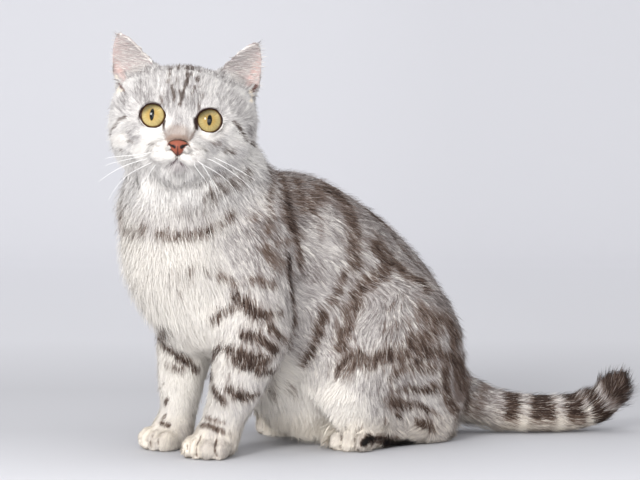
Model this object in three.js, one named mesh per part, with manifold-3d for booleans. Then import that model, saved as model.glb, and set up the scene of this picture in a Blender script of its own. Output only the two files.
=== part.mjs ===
// A life-size, still model of a sitting shorthaired tabby cat, parted into its named pieces.
// Units are millimetres. The cat faces +X, its left side is +Y, and it sits on the plane z = 0.
// The body is described by soft masses (balls and tapered limbs) that blend into one another. A net of rays
// cast from a line inside each region finds its surface. The regions are joined, their creases are filled,
// and thin cuts part the whole into pieces.
import * as THREE from "three";
import { mergeVertices } from "three/addons/utils/BufferGeometryUtils.js";
import Module from "manifold-3d";

const wasm = await Module();
wasm.setup();

// ---- Driving dimensions ----

const seam = 0.3; // gap between neighbouring pieces
const trunkLean = 38; // degrees of the trunk's axis above the floor
const headCentre = [6.9, 7.5, 257];
const headYaw = 59; // degrees that the face is turned to the cat's left
const headPitch = 0; // degrees that the face is lifted
const headRoll = -5; // degrees, the cat's left side lower

const chestHalfWidth = 56;
const haunchOut = 50; // haunch centre from the middle plane
const shoulderOut = 38;
const elbowOut = 47;
const pawOut = 29; // front paw from the middle plane
const hindPawOut = 53;
const hindPawBack = 121; // hind toes behind the front paws
const heelBack = 221;

const eyeRadius = 11;
const eyeApart = 20.6; // eye centre from the face's middle plane
const eyeForward = 32.5;
const eyeUp = 3.5;
const earThick = 2.6;
const frontToe = [14, 7.3, 10.4]; // half length, half width and half height
const hindToe = [13.5, 7.4, 12.2];
const toeFan = 7; // degrees between neighbouring toes
const tailRadius = 16.5;

const softBody = 26; // how widely the masses of the trunk blend
const softHead = 13;
const softLeg = 14;
const softJoin = 22; // fillet where two regions meet

// ---- Small helpers ----

const vec = (x, y, z) => new THREE.Vector3(x, y, z);
const at = (p) => vec(...p);
const rad = THREE.MathUtils.degToRad;
const mix = THREE.MathUtils.lerp;

// The signed distance, roughly, to an ellipsoid. turn is its rotation about x, y and z in degrees.
function ball(centre, size, turn = [0, 0, 0]) {
  const spin = new THREE.Quaternion().setFromEuler(
    new THREE.Euler(...turn.map(rad), "ZYX"),
  );
  const place = new THREE.Matrix4()
    .compose(at(centre), spin, vec(1, 1, 1))
    .invert();
  const [a, b, c] = size;
  return (p) => {
    const q = p.clone().applyMatrix4(place);
    const near = Math.hypot(q.x / a, q.y / b, q.z / c);
    const slope = Math.hypot(q.x / (a * a), q.y / (b * b), q.z / (c * c));
    return slope > 1e-9 ? (near * (near - 1)) / slope : -Math.min(a, b, c);
  };
}

// The distance to a limb that runs through points, each with its own radius: [x, y, z, radius].
function limb(...stations) {
  const joints = stations.map(([x, y, z]) => vec(x, y, z));
  const radii = stations.map((s) => s[3]);
  return (p) => {
    let least = Infinity;
    for (let i = 0; i + 1 < joints.length; i++) {
      const along = joints[i + 1].clone().sub(joints[i]);
      const reach = p.clone().sub(joints[i]).dot(along) / along.lengthSq();
      const share = THREE.MathUtils.clamp(reach, 0, 1);
      const foot = joints[i].clone().addScaledVector(along, share);
      least = Math.min(
        least,
        p.distanceTo(foot) - mix(radii[i], radii[i + 1], share),
      );
    }
    return least;
  };
}

// Joins fields so that they flow into each other over the width soft.
function blend(soft, fields) {
  const join = (a, b) => {
    const overlap = Math.max(soft - Math.abs(a - b), 0) / soft;
    return Math.min(a, b) - overlap * overlap * soft * 0.25;
  };
  return (p) => fields.map((field) => field(p)).reduce(join);
}

function uphill(field, p) {
  const step = 0.4;
  const slope = (axis) =>
    field(p.clone().addScaledVector(axis, step)) -
    field(p.clone().addScaledVector(axis, -step));
  return vec(
    slope(vec(1, 0, 0)),
    slope(vec(0, 1, 0)),
    slope(vec(0, 0, 1)),
  ).normalize();
}

// The first place along a ray where the field turns positive.
function edge(field, from, way, farthest = 400) {
  let inner = 0;
  let outer = 0;
  while (outer < farthest) {
    const depth = field(from.clone().addScaledVector(way, outer));
    if (depth >= 0) break;
    inner = outer;
    outer += Math.max(-depth * 0.7, 0.3);
  }
  for (let i = 0; i < 24; i++) {
    const middle = (inner + outer) / 2;
    if (field(from.clone().addScaledVector(way, middle)) < 0) inner = middle;
    else outer = middle;
  }
  return inner;
}

// Casts a closed net of rays from a line to a field. caps are the shares of the rings that close its ends, and
// across is a direction that stays level round the rings.
function castSkin({ field, line, around, along, caps = [0.25, 0.25], across = [0, 1, 0] }) {
  const path = new THREE.CatmullRomCurve3(line.map(at));
  const net = new THREE.SphereGeometry(1, around, along);
  const position = net.getAttribute("position");
  const p = vec(0, 0, 0);
  for (let i = 0; i < position.count; i++) {
    p.fromBufferAttribute(position, i);
    const turn = Math.acos(THREE.MathUtils.clamp(p.y, -1, 1)) / Math.PI;
    const [near, far] = caps;
    const share = THREE.MathUtils.clamp((turn - near) / (1 - near - far), 0, 1);
    let bend = 0.5;
    if (turn < near) bend = turn / (2 * near);
    if (turn > 1 - far) bend = 1 - (1 - turn) / (2 * far);
    const from = path.getPoint(share);
    const ahead = path.getTangent(share);
    const side = at(across).addScaledVector(ahead, -at(across).dot(ahead));
    side.normalize();
    const up = ahead.clone().cross(side);
    const ring = vec(p.x, 0, p.z);
    if (ring.length() > 1e-6) ring.normalize();
    const way = side
      .multiplyScalar(ring.x)
      .addScaledVector(up, ring.z)
      .multiplyScalar(Math.sin(bend * Math.PI))
      .addScaledVector(ahead, -Math.cos(bend * Math.PI));
    const reach = edge(field, from, way.normalize());
    from.addScaledVector(way, reach);
    position.setXYZ(i, from.x, from.y, from.z);
  }
  return net;
}

// ---- Solids ----

function solid(geometry) {
  const bare = geometry.clone();
  bare.deleteAttribute("normal");
  bare.deleteAttribute("uv");
  const merged = mergeVertices(bare, 1e-3);
  const made = new wasm.Manifold(
    new wasm.Mesh({
      numProp: 3,
      vertProperties: new Float32Array(merged.attributes.position.array),
      triVerts: new Uint32Array(merged.index.array),
    }),
  );
  if (made.volume() > 0) return made;
  const flipped = merged.index.array.slice();
  for (let i = 0; i < flipped.length; i += 3)
    [flipped[i + 1], flipped[i + 2]] = [flipped[i + 2], flipped[i + 1]];
  return new wasm.Manifold(
    new wasm.Mesh({
      numProp: 3,
      vertProperties: new Float32Array(merged.attributes.position.array),
      triVerts: new Uint32Array(flipped),
    }),
  );
}

const union = (solids) => solids.reduce((a, b) => a.add(b));

function largest(made) {
  const bodies = made.decompose();
  return bodies.reduce((a, b) => (b.volume() > a.volume() ? b : a));
}

function block(low, high) {
  const size = high.map((v, i) => v - low[i]);
  const box = new THREE.BoxGeometry(...size);
  return solid(box.translate(...low.map((v, i) => v + size[i] / 2)));
}

// An ellipsoid as a solid, grown by a margin on every side.
function egg(centre, size, turn = [0, 0, 0], grow = 0, around = 32, along = 20) {
  const shape = new THREE.SphereGeometry(1, around, along);
  const spin = new THREE.Quaternion().setFromEuler(
    new THREE.Euler(...turn.map(rad), "ZYX"),
  );
  const full = vec(...size.map((v) => v + grow));
  return solid(
    shape.applyMatrix4(new THREE.Matrix4().compose(at(centre), spin, full)),
  );
}

// A limb as a solid, used to cut out the region round a bone.
function sleeve(stations, grow, around = 20, along = 20) {
  const wide = stations.map(([x, y, z, r]) => [x, y, z, r + grow]);
  return solid(
    castSkin({
      field: limb(...wide),
      line: stations.map((s) => s.slice(0, 3)),
      around,
      along,
    }),
  );
}

// Moves the vertices of a solid.
function reshape(made, move) {
  const mesh = made.getMesh();
  const width = mesh.numProp;
  const places = new Float32Array(mesh.numVert * 3);
  for (let i = 0; i < mesh.numVert; i++) {
    const p = vec(...mesh.vertProperties.subarray(i * width, i * width + 3));
    places.set(move(p).toArray(), i * 3);
  }
  return new wasm.Manifold(
    new wasm.Mesh({
      numProp: 3,
      vertProperties: places,
      triVerts: mesh.triVerts,
    }),
  );
}

// ---- The trunk ----

const bothSides = (make) => [make(1), make(-1)];

const bodyMass = blend(softBody, [
  ball([-91, 0, 146], [77, chestHalfWidth, 75], [0, -30, 0]),
  ball([-144, 0, 118], [79, 57, 72], [0, -trunkLean, 0]),
  ball([-189, 0, 77], [58, 57, 71]),
  ball([-208, 0, 40], [42, 50, 46]),
  ball([1, 0, 170], [52, 53, 74]),
  ball([-12, 0, 118], [34, 38, 42]),
  ball([-130, 0, 52], [70, 44, 54]),
]);

const trunkField = blend(12, [
  bodyMass,
  limb([-38, 0, 182, 50], [-7, 4, 236, 45]),
  ball([8, -2, 206], [46, 49, 40]),
  ...bothSides((s) => ball([-38, s * shoulderOut, 148], [37, 25, 58], [0, -14, 0])),
  ...bothSides((s) =>
    ball([-161, s * haunchOut, 77], [66, 31, 64], [0, -12, s * -8]),
  ),
  ...bothSides((s) => ball([-124, s * 57, 46], [38, 23, 40], [0, 10, 0])),
  ...bothSides((s) => ball([-192, s * 49, 38], [50, 27, 42])),
]);

const trunkSkin = castSkin({
  field: trunkField,
  line: [
    [-220, 0, 62],
    [-186, 0, 84],
    [-140, 0, 112],
    [-90, 0, 142],
    [-48, 0, 168],
    [-26, 2, 196],
  ],
  around: 32,
  along: 26,
  caps: [0.22, 0.12],
});

// ---- Legs ----

// Four toes fanned over a palm: heading is in degrees, and the two middle toes reach furthest.
function toes(palm, heading, size, reach) {
  const face = rad(heading);
  return [-1.5, -0.5, 0.5, 1.5].map((step) => {
    const turn = rad(heading + step * toeFan);
    const ahead = reach * (1.06 - 0.13 * step * step);
    const aside = step * size[1] * 0.94;
    const centre = [
      palm[0] + Math.cos(turn) * ahead - Math.sin(face) * aside,
      palm[1] + Math.sin(turn) * ahead + Math.cos(face) * aside,
      size[2] * 0.84,
    ];
    return egg(centre, size, [0, 12, heading + step * toeFan], 0, 10, 7);
  });
}

function frontLeg(s, ahead, heading, girth) {
  const elbow = [-31 + ahead, s * elbowOut, 92];
  const wrist = [-15 + ahead, s * (pawOut + 3), 34];
  const palm = [-5 + ahead, s * pawOut, 11];
  const bones = [
    [-38, s * 36, 128, 25],
    [...elbow, 28 * girth],
    [-22 + ahead, s * (pawOut + 11), 60, 22.5 * girth],
    [...wrist, 17 * girth],
    [-10 + ahead, s * (pawOut + 1), 16, 15 * girth],
  ];
  const field = blend(softLeg, [limb(...bones), ball(palm, [17, 16, 13])]);
  const skin = solid(
    castSkin({
      field,
      line: bones.map((b) => b.slice(0, 3)),
      around: 12,
      along: 15,
      caps: [0.12, 0.25],
    }),
  );
  return { solid: union([skin, ...toes(palm, heading, frontToe, 12)]), field, wrist };
}

function hindFoot(s, heading) {
  const heel = [-heelBack, s * 47, 18];
  const sole = [-hindPawBack - 8, s * (hindPawOut - 1), 11];
  const bones = [
    [...heel, 18],
    [-168, s * 50, 15, 15],
    [...sole, 14],
  ];
  const field = blend(softLeg, [limb(...bones), ball(sole, [19, 18, 13])]);
  const skin = solid(
    castSkin({
      field,
      line: bones.map((b) => b.slice(0, 3)),
      around: 12,
      along: 12,
      caps: [0.2, 0.25],
    }),
  );
  return { solid: union([skin, ...toes(sole, heading, hindToe, 13)]), field };
}

// ---- Tail ----

const tailLine = [
  [-222, -6, 44, 26],
  [-250, 12, 31, 22],
  [-278, 39, 19.5, 17.5],
  [-304, 56, 16.5, tailRadius],
  [-328, 66, 16.5, tailRadius],
  [-347, 74, 20, tailRadius],
  [-359, 82, 27, tailRadius],
  [-364, 88, 35, tailRadius],
];

const tailPath = new THREE.CatmullRomCurve3(
  tailLine.map(([x, y, z]) => vec(x, y, z)),
);
const tailField = limb(
  ...tailPath.getPoints(28).map((p, i) => {
    const place = (i / 28) * (tailLine.length - 1);
    const k = Math.min(Math.floor(place), tailLine.length - 2);
    return [p.x, p.y, p.z, mix(tailLine[k][3], tailLine[k + 1][3], place - k)];
  }),
);
const tailSkin = castSkin({
  field: tailField,
  line: tailLine.map((t) => t.slice(0, 3)),
  around: 12,
  along: 22,
  caps: [0.1, 0.16],
  across: [0, 0, 1],
});

// ---- Head, in its own frame: x forward through the nose, y to the cat's left, z up ----

const headField = blend(softHead, [
  ball([-8, 0, 7], [45, 50, 39]),
  ball([16, 0, 19], [25, 38, 23]),
  ...bothSides((s) => ball([-2, s * 27, 0], [37, 31, 33])),
  ...bothSides((s) => ball([-10, s * 39, 15], [22, 14, 15])),
  ...bothSides((s) => ball([6, s * 24, -20], [31, 27, 24])),
  ball([29, 0, -22], [22, 24, 17]),
  ...bothSides((s) => ball([41, s * 11.5, -25], [14.5, 12.5, 11])),
  ball([34, 0, -38], [14, 14, 9]),
  limb([26, 0, 9, 12], [42, 0, -11, 8]),
]);

const headPlace = new THREE.Matrix4()
  .makeTranslation(...headCentre)
  .multiply(
    new THREE.Matrix4().makeRotationFromEuler(
      new THREE.Euler(rad(headRoll), rad(-headPitch), rad(headYaw), "ZYX"),
    ),
  );

const headSkin = castSkin({
  field: headField,
  line: [
    [-16, 0, 0],
    [10, 0, -3],
    [36, 0, -20],
  ],
  around: 30,
  along: 26,
  caps: [0.34, 0.42],
});

// ---- Eyes ----

const eyeTurn = [0, -2, 10]; // the left eye looks a little outwards and up
const lidOpening = [8.8, 8.0]; // half width and half height
const eyeCentre = (s) => [eyeForward, s * eyeApart, eyeUp];
const eyeSpin = (s) => [0, eyeTurn[1], s * eyeTurn[2]];
const eyeSpinWay = (s) =>
  vec(1, 0, 0)
    .applyEuler(new THREE.Euler(...eyeSpin(s).map(rad), "ZYX"))
    .toArray();

function eyeBall(s, grow) {
  return egg(eyeCentre(s), [eyeRadius, eyeRadius, eyeRadius], [0, 0, 0], grow, 16, 10);
}

// A rim that follows the opening between the lids and lies on the eyeball.
function lidRim(s) {
  const spin = new THREE.Euler(...eyeSpin(s).map(rad), "ZYX");
  const points = [];
  for (let i = 0; i < 28; i++) {
    const turn = (i / 28) * 2 * Math.PI;
    const [wide, high] = lidOpening;
    const inner = Math.max(0, -Math.cos(turn) * s) ** 6;
    const p = vec(
      0,
      Math.cos(turn) * (wide + 1 + inner * 1.8),
      Math.sin(turn) * (high + 1) + Math.cos(turn) * s * 0.9 - inner * 1.5,
    );
    const out = eyeRadius + 0.9;
    p.x = Math.sqrt(Math.max(out * out - p.y * p.y - p.z * p.z, 42));
    points.push(p.applyEuler(spin).add(at(eyeCentre(s))));
  }
  const path = new THREE.CatmullRomCurve3(points, true);
  return solid(tube(path, 1.9, 5, 18));
}

// A closed tube round a loop.
function tube(path, radius, sides, steps) {
  const section = new THREE.Shape();
  for (let i = 0; i < sides; i++) {
    const turn = (i / sides) * 2 * Math.PI;
    const [x, y] = [Math.cos(turn) * radius, Math.sin(turn) * radius];
    if (i === 0) section.moveTo(x, y);
    else section.lineTo(x, y);
  }
  section.closePath();
  return new THREE.ExtrudeGeometry(section, { steps, extrudePath: path });
}

// ---- Ears ----

// Edges of the left ear from its foot to its tip, as side and height in the head's frame.
const earOuter = [
  [49, 14],
  [55, 26],
  [57.6, 37],
  [58.4, 47],
  [58.2, 57],
  [55.8, 66.4],
];
const earInner = [
  [14, 36],
  [22.3, 44],
  [30.8, 52.4],
  [39.3, 60.2],
  [47.8, 66],
  [54.2, 68.2],
];
const earForward = [-7, -13]; // where the inner and the outer edge stand, front to back
const earCup = [17, 4]; // depth of the cup at the foot and near the tip
const earFoot = [34, 26]; // side and height of the point that each ear leans about
const earLean = { left: 3.5, right: -2.5 }; // degrees, towards the crown

// A cupped ear. Its net is a cylinder whose rings are crescents: half of each ring is the outer wall, and half
// is the inner wall, which closes to a floor at the foot of the cup.
function ear(s, lean) {
  const edgeOf = (points, ahead) =>
    new THREE.CatmullRomCurve3(points.map(([y, z]) => vec(ahead, s * y, z)));
  const inner = edgeOf(earInner, earForward[0]);
  const outer = edgeOf(earOuter, earForward[1]);
  const net = new THREE.CylinderGeometry(1, 1, 1, 20, 9);
  const position = net.getAttribute("position");
  const p = vec(0, 0, 0);
  for (let i = 0; i < position.count; i++) {
    p.fromBufferAttribute(position, i);
    const high = (p.y + 0.5) * 0.97;
    const centre = Math.hypot(p.x, p.z) < 0.5;
    const side = centre ? 0 : p.x;
    const near = inner.getPoint(high);
    const far = outer.getPoint(high);
    const back = vec(-1, 0, 0).applyAxisAngle(vec(0, 0, 1), rad(s * -14));
    const round = Math.sqrt(Math.max(1 - side * side, 0));
    const lip = earThick * 0.4 * Math.sqrt(Math.max(1 - side ** 8, 0));
    const deep = mix(...earCup, high ** 0.8) * (1 - 0.7 * high ** 4);
    const open = THREE.MathUtils.smoothstep(high, 0.16, 0.36);
    const wall = Math.max(deep - earThick * mix(1, 0.7, high), 0);
    const floor = mix(-9, wall * round, open);
    let depth = p.z <= 1e-6 ? deep * round + lip : floor - lip;
    if (centre) depth = 0;
    const foot = vec(0, s * earFoot[0], earFoot[1]);
    const q = near
      .lerp(far, (side + 1) / 2)
      .addScaledVector(back, depth)
      .sub(foot)
      .applyAxisAngle(vec(1, 0, 0), rad(s * lean))
      .add(foot);
    position.setXYZ(i, q.x, q.y, q.z);
  }
  return solid(net);
}

// ---- Nose and mouth ----

const noseCentre = [53.5, 0, -18.6];
const noseTop = 8.8; // half width
const noseFoot = 2.2;
const noseHigh = 5.2;
const noseDeep = 6.8;

// The nose leather: wide at the top, narrow where the lip's cleft begins.
function nose(grow) {
  const net = new THREE.SphereGeometry(1, 16, 10);
  const position = net.getAttribute("position");
  for (let i = 0; i < position.count; i++) {
    const high = position.getY(i);
    const wide = mix(noseFoot, noseTop, THREE.MathUtils.smoothstep(high, -1, 0.6));
    position.setXYZ(
      i,
      noseCentre[0] + position.getX(i) * (noseDeep + grow) + high * 0.7,
      position.getZ(i) * -(wide + grow),
      noseCentre[2] + high * (noseHigh + grow),
    );
  }
  return solid(net);
}

function nostril(s) {
  return egg([60.2, s * 4.9, -18.9], [3.6, 2.1, 1.5], [s * 24, 0, s * 30], 0, 8, 6);
}

// The cleft under the nose and the line between the lips, as tubes to be cut out of the skin.
function mouthLine() {
  const onSkin = ([y, z]) => vec(20 + edge(headField, vec(20, y, z), vec(1, 0, 0)), y, z);
  const run = (points, steps) =>
    solid(tube(new THREE.CatmullRomCurve3(points.map(onSkin)), 0.9, 5, steps));
  const lip = [
    [0, -28.2],
    [5, -30.6],
    [10, -33.8],
    [16, -36.2],
    [21, -35.6],
  ];
  const cleft = [
    [0, -22],
    [0, -25],
    [0, -28.8],
  ];
  return [
    run(cleft, 3),
    run(lip, 9),
    run(
      lip.map(([y, z]) => [-y, z]),
      9,
    ),
  ];
}

// ---- Assembly of the whole ----

const frontLegs = { left: frontLeg(1, -2, 32, 1.04), right: frontLeg(-1, 3.5, 6, 0.94) };
const hindFeet = { left: hindFoot(1, 18), right: hindFoot(-1, -6) };
const inHeadFrame = new THREE.Matrix4().copy(headPlace).invert();
const moved = (made, matrix) => reshape(made, (p) => p.applyMatrix4(matrix));

// The funnel between the lids of one eye.
function lidFunnel(s) {
  const ahead = at(eyeSpinWay(s)).multiplyScalar(9);
  const centre = at(eyeCentre(s)).add(ahead).toArray();
  return egg(centre, [12, ...lidOpening], eyeSpin(s), 0, 20, 6);
}

const headSolid = moved(
  union([solid(headSkin), lidRim(1), lidRim(-1), ear(1, earLean.left), ear(-1, earLean.right)]),
  headPlace,
);
const hollows = [
  ...bothSides(lidFunnel),
  ...bothSides((s) => eyeBall(s, seam)),
  nose(seam),
  ...mouthLine(),
].map((cut) => moved(cut, headPlace));
const trunkParts = [
  solid(trunkSkin),
  solid(tailSkin),
  ...Object.values(frontLegs).map((leg) => leg.solid),
  ...Object.values(hindFeet).map((foot) => foot.solid),
];

// The creases where two regions meet are filled by moving their vertices out to the blended field.
const regions = [
  trunkField,
  tailField,
  ...Object.values(frontLegs).map((leg) => leg.field),
  ...Object.values(hindFeet).map((foot) => foot.field),
];
const joined = blend(softJoin, regions);
const apart = (p) => Math.min(...regions.map((field) => field(p)));
const bodySolid = reshape(union(trunkParts), (p) => {
  const fill = apart(p) - joined(p);
  return fill > 0.01 ? p.addScaledVector(uphill(joined, p), fill) : p;
});
const floorCut = block([-600, -400, -200], [300, 400, 0]);
let whole = bodySolid.add(headSolid).subtract(floorCut);
for (const hollow of hollows) whole = whole.subtract(hollow);
whole = largest(whole);

// ---- Parting into pieces ----

const model = new THREE.Group();
const headGroup = new THREE.Group();
headGroup.applyMatrix4(headPlace);
model.add(headGroup);

const coat = { color: 0xb9b5ae, roughness: 0.9, metalness: 0 };
const finishes = {
  coat: new THREE.MeshStandardMaterial(coat),
  pale: new THREE.MeshStandardMaterial({ ...coat, color: 0xe6e1d8 }),
  nose: new THREE.MeshStandardMaterial({ color: 0xb5573c, roughness: 0.45 }),
  eye: new THREE.MeshStandardMaterial({ color: 0xb7973f, roughness: 0.05 }),
};

function geometryOf(made) {
  const mesh = made.getMesh();
  const width = mesh.numProp;
  const places = new Float32Array(mesh.numVert * 3);
  for (let i = 0; i < mesh.numVert; i++)
    places.set(mesh.vertProperties.subarray(i * width, i * width + 3), i * 3);
  const geometry = new THREE.BufferGeometry();
  geometry.setAttribute("position", new THREE.BufferAttribute(places, 3));
  geometry.setIndex(new THREE.BufferAttribute(mesh.triVerts, 1));
  return geometry;
}

// Adds a solid to a group as a named mesh whose own origin is the middle of its box.
function show(name, made, finish, group = model) {
  const geometry = geometryOf(made);
  geometry.computeBoundingBox();
  const middle = geometry.boundingBox.getCenter(vec(0, 0, 0));
  geometry.translate(-middle.x, -middle.y, -middle.z);
  geometry.computeVertexNormals();
  const mesh = new THREE.Mesh(geometry, finishes[finish]);
  mesh.name = name;
  mesh.position.copy(middle);
  group.add(mesh);
}

// Takes the part of the whole that lies inside a cutter, and leaves the rest, with the seam between them.
function take(name, cutter, finish, group = model) {
  const inner = cutter(-seam / 2);
  const outer = cutter(seam / 2);
  let piece = largest(whole.intersect(inner));
  whole = largest(whole.subtract(outer));
  if (group === headGroup) piece = moved(piece, inHeadFrame);
  show(name, piece, finish, group);
}

const sides = [
  ["left", 1],
  ["right", -1],
];

// A half space as a big box: everything beyond a plane through a point, along a direction.
function beyond(point, way, size = 160, inside = (made) => made) {
  return (grow) => {
    const slab = new THREE.BoxGeometry(size, size, size);
    slab.translate(0, 0, size / 2 - grow);
    const spin = new THREE.Quaternion().setFromUnitVectors(
      vec(0, 0, 1),
      at(way).normalize(),
    );
    return inside(solid(slab.applyQuaternion(spin).translate(...point)));
  };
}

for (const [side, s] of sides)
  take(
    `${side}_ear`,
    beyond([-10, s * 38, 36], [0.02, s * 0.52, 0.86], 74, (made) =>
      moved(made, headPlace),
    ),
    "coat",
    headGroup,
  );
take(
  "head",
  (grow) =>
    moved(
      egg([2, 0, 3], [62, 68, 53], [0, 0, 0], grow, 16, 8).add(
        egg([34, 0, -25], [34, 40, 27], [0, 0, 0], grow, 12, 6),
      ),
      headPlace,
    ),
  "coat",
  headGroup,
);
take("neck", beyond([-30, 0, 200], [0.27, 0, 1], 400), "coat");

const tailCuts = [
  ["tail_tip", 0.76],
  ["tail_middle", 0.48],
  ["tail_base", 0.2],
];
for (const [name, share] of tailCuts)
  take(
    name,
    beyond(
      tailPath.getPoint(share).toArray(),
      tailPath.getTangent(share).toArray(),
      140,
    ),
    "coat",
  );

for (const [side, s] of sides) {
  const leg = frontLegs[side];
  const onSide = (low, high) => (grow) =>
    block(
      [low[0] - grow, Math.min(s * low[1], s * high[1]) - grow, low[2] - grow],
      [high[0] + grow, Math.max(s * low[1], s * high[1]) + grow, high[2] + grow],
    );
  take(`${side}_front_paw`, onSide([-48, 3, -20], [48, 70, 28]), "pale");
  take(
    `${side}_forearm`,
    (grow) =>
      sleeve(
        [
          [-30, s * 48, 74, 36],
          [-19, s * 38, 48, 27],
          [...leg.wrist, 25],
          [-10, s * 31, 10, 25],
        ],
        grow,
        12,
        7,
      ),
    "coat",
  );
  take(
    `${side}_upper_arm`,
    (grow) => egg([-36, s * 62, 140], [44, 38, 62], [0, -14, 0], grow, 12, 8),
    "coat",
  );
  take(`${side}_hind_foot`, onSide([-260, 25, -20], [-84, 92, 25]), "pale");
  take(
    `${side}_lower_hind_leg`,
    (grow) =>
      sleeve(
        [
          [-214, s * 64, 38, 30],
          [-116, s * 64, 46, 38],
        ],
        grow,
        12,
        6,
      ),
    "coat",
  );
  take(
    `${side}_thigh`,
    (grow) => egg([-166, s * 76, 86], [80, 44, 72], [0, -12, s * -6], grow, 18, 10),
    "coat",
  );
}
show("torso", whole, "coat");

let noseSolid = nose(0);
for (const [, s] of sides) noseSolid = noseSolid.subtract(nostril(s));
show("nose", largest(noseSolid), "nose", headGroup);
show("left_eye", eyeBall(1, 0), "eye", headGroup);
show("right_eye", eyeBall(-1, 0), "eye", headGroup);

// The origin is on the floor, under the middle of the whole model's box.
model.updateMatrixWorld(true);
const box = new THREE.Box3().setFromObject(model, true);
const middle = box.getCenter(vec(0, 0, 0));
model.position.set(-middle.x, -middle.y, -box.min.z);

export default model;
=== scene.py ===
# Looks for the sitting silver tabby: one skin under a coat of mesh fur, with eyes, nose leather and whiskers.
import math

import bmesh
import bpy
import numpy as np
from mathutils import Euler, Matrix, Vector
from mathutils.bvhtree import BVHTree


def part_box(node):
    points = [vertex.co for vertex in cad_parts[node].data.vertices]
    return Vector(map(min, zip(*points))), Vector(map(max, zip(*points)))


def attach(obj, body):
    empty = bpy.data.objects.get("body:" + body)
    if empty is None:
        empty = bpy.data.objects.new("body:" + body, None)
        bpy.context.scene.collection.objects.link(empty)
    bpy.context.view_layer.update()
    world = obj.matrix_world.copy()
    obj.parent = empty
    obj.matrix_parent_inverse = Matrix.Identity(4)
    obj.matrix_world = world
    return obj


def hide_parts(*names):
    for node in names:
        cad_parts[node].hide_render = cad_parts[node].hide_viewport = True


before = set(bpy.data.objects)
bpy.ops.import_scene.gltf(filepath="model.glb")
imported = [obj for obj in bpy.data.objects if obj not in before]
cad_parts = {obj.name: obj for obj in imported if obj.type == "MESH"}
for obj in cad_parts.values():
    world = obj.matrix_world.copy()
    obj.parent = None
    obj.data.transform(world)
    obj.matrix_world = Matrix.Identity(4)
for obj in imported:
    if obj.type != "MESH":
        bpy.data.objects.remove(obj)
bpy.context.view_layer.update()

draws = np.random.default_rng(7)
mm = 0.001


def addObject(name, data):
    made = bpy.data.objects.new(name, data)
    bpy.context.scene.collection.objects.link(made)
    return made


cameraIs = {
    "at": (0.9427, 1.3876, 0.234),
    "pitch": 87.6,  # degrees up from straight down
    "heading": 147.0,
    "lens": 115.4,
    "sensor": 36.0,
    "frame": (640, 480),
}


def makeCamera():
    data = bpy.data.cameras.new("camera")
    data.lens = cameraIs["lens"]
    data.sensor_width = cameraIs["sensor"]
    made = addObject("camera", data)
    made.location = cameraIs["at"]
    made.rotation_euler = (math.radians(cameraIs["pitch"]), 0, math.radians(cameraIs["heading"]))
    bpy.context.scene.camera = made
    bpy.context.view_layer.update()
    return made


camera = makeCamera()
cameraTurn = camera.matrix_world.to_3x3()


# The line of sight through a pixel, as a start and a direction.
def sightLine(px, py):
    wide, high = cameraIs["frame"]
    scale = cameraIs["sensor"] / cameraIs["lens"] / wide
    way = Vector(((px - wide / 2) * scale, (high / 2 - py) * scale, -1))
    return camera.location.copy(), (cameraTurn @ way).normalized()


# Body and head measures are in millimetres, from the floor between the front paws and from the head's middle.
bodyStart = np.array((158.93, -11.22, 0.0))
mirror = np.array((1, -1, 1))
headIs = {
    "yaw": 59.0,
    "roll": -5.0,
    "eyes": (32.5, 20.6, 3.5),  # forward, apart, up
}


def middleOf(node):
    low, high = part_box(node)
    return (low + high) / 2


headTurn = Euler((math.radians(headIs["roll"]), 0, math.radians(headIs["yaw"]))).to_matrix()
eyeMiddle = (middleOf("left_eye") + middleOf("right_eye")) / 2
eyesForward, eyesApart, eyesUp = headIs["eyes"]
headCentre = eyeMiddle - headTurn @ Vector((eyesForward, 0, eyesUp)) * mm
headMatrix = np.array(headTurn)
headOrigin = np.array(headCentre)


def fromBody(points):
    return (np.asarray(points, float) + bodyStart) * mm


def toBody(points):
    return np.asarray(points, float) / mm - bodyStart


# The same places on the other side of the body.
def mirrored(points):
    return fromBody(toBody(points) * mirror)


def fromHead(points):
    return np.asarray(points, float) @ headMatrix.T * mm + headOrigin


def toHead(points):
    return (np.asarray(points, float) - headOrigin) @ headMatrix / mm


# Distances from the head's middle, in millimetres.
def fromHeadMiddle(points):
    return np.linalg.norm(toHead(points), axis=1)


# Directions away from the head's middle plane, at each place.
def outwardAt(points):
    return np.sign(toHead(points)[:, 1])[:, None] * headMatrix[:, 1]


def unit(v):
    return v / np.maximum(np.linalg.norm(v, axis=-1, keepdims=True), 1e-9)


# Directions laid flat on a surface with the given normals.
def flatOn(ways, lie):
    return unit(lie - ways * (lie * ways).sum(1, keepdims=True))


# A smooth step from 0 at the low value to 1 at the high one.
def blendIn(value, low, high):
    t = np.clip((value - low) / (high - low), 0, 1)
    return t * t * (3 - 2 * t)


# From one value or colour to another, by a share for each row.
def mix(low, high, share):
    return low + (high - low) * share[:, None]


# A number from 0 to 1 for each cell of a grid.
def cellDraw(cells, seed):
    mixed = cells[..., 0] * 73856093 ^ cells[..., 1] * 19349663 ^ cells[..., 2] * 83492791
    mixed = (mixed ^ seed * 374761393) & 0x7FFFFFFF
    mixed = (mixed ^ (mixed >> 13)) * 1274126177 & 0x7FFFFFFF
    return ((mixed ^ (mixed >> 16)) & 0xFFFF) / 65535.0


# Smooth noise from -1 to 1 with grains of about the given size.
def softNoise(points, grain, seed):
    q = points / grain
    cell = np.floor(q).astype(np.int64)
    part = q - cell
    part = part * part * (3 - 2 * part)
    total = np.zeros(len(points))
    for corner in np.ndindex(2, 2, 2):
        weight = np.prod(np.where(corner, part, 1 - part), axis=1)
        total += weight * cellDraw(cell + np.array(corner), seed)
    return total * 2 - 1


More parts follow.
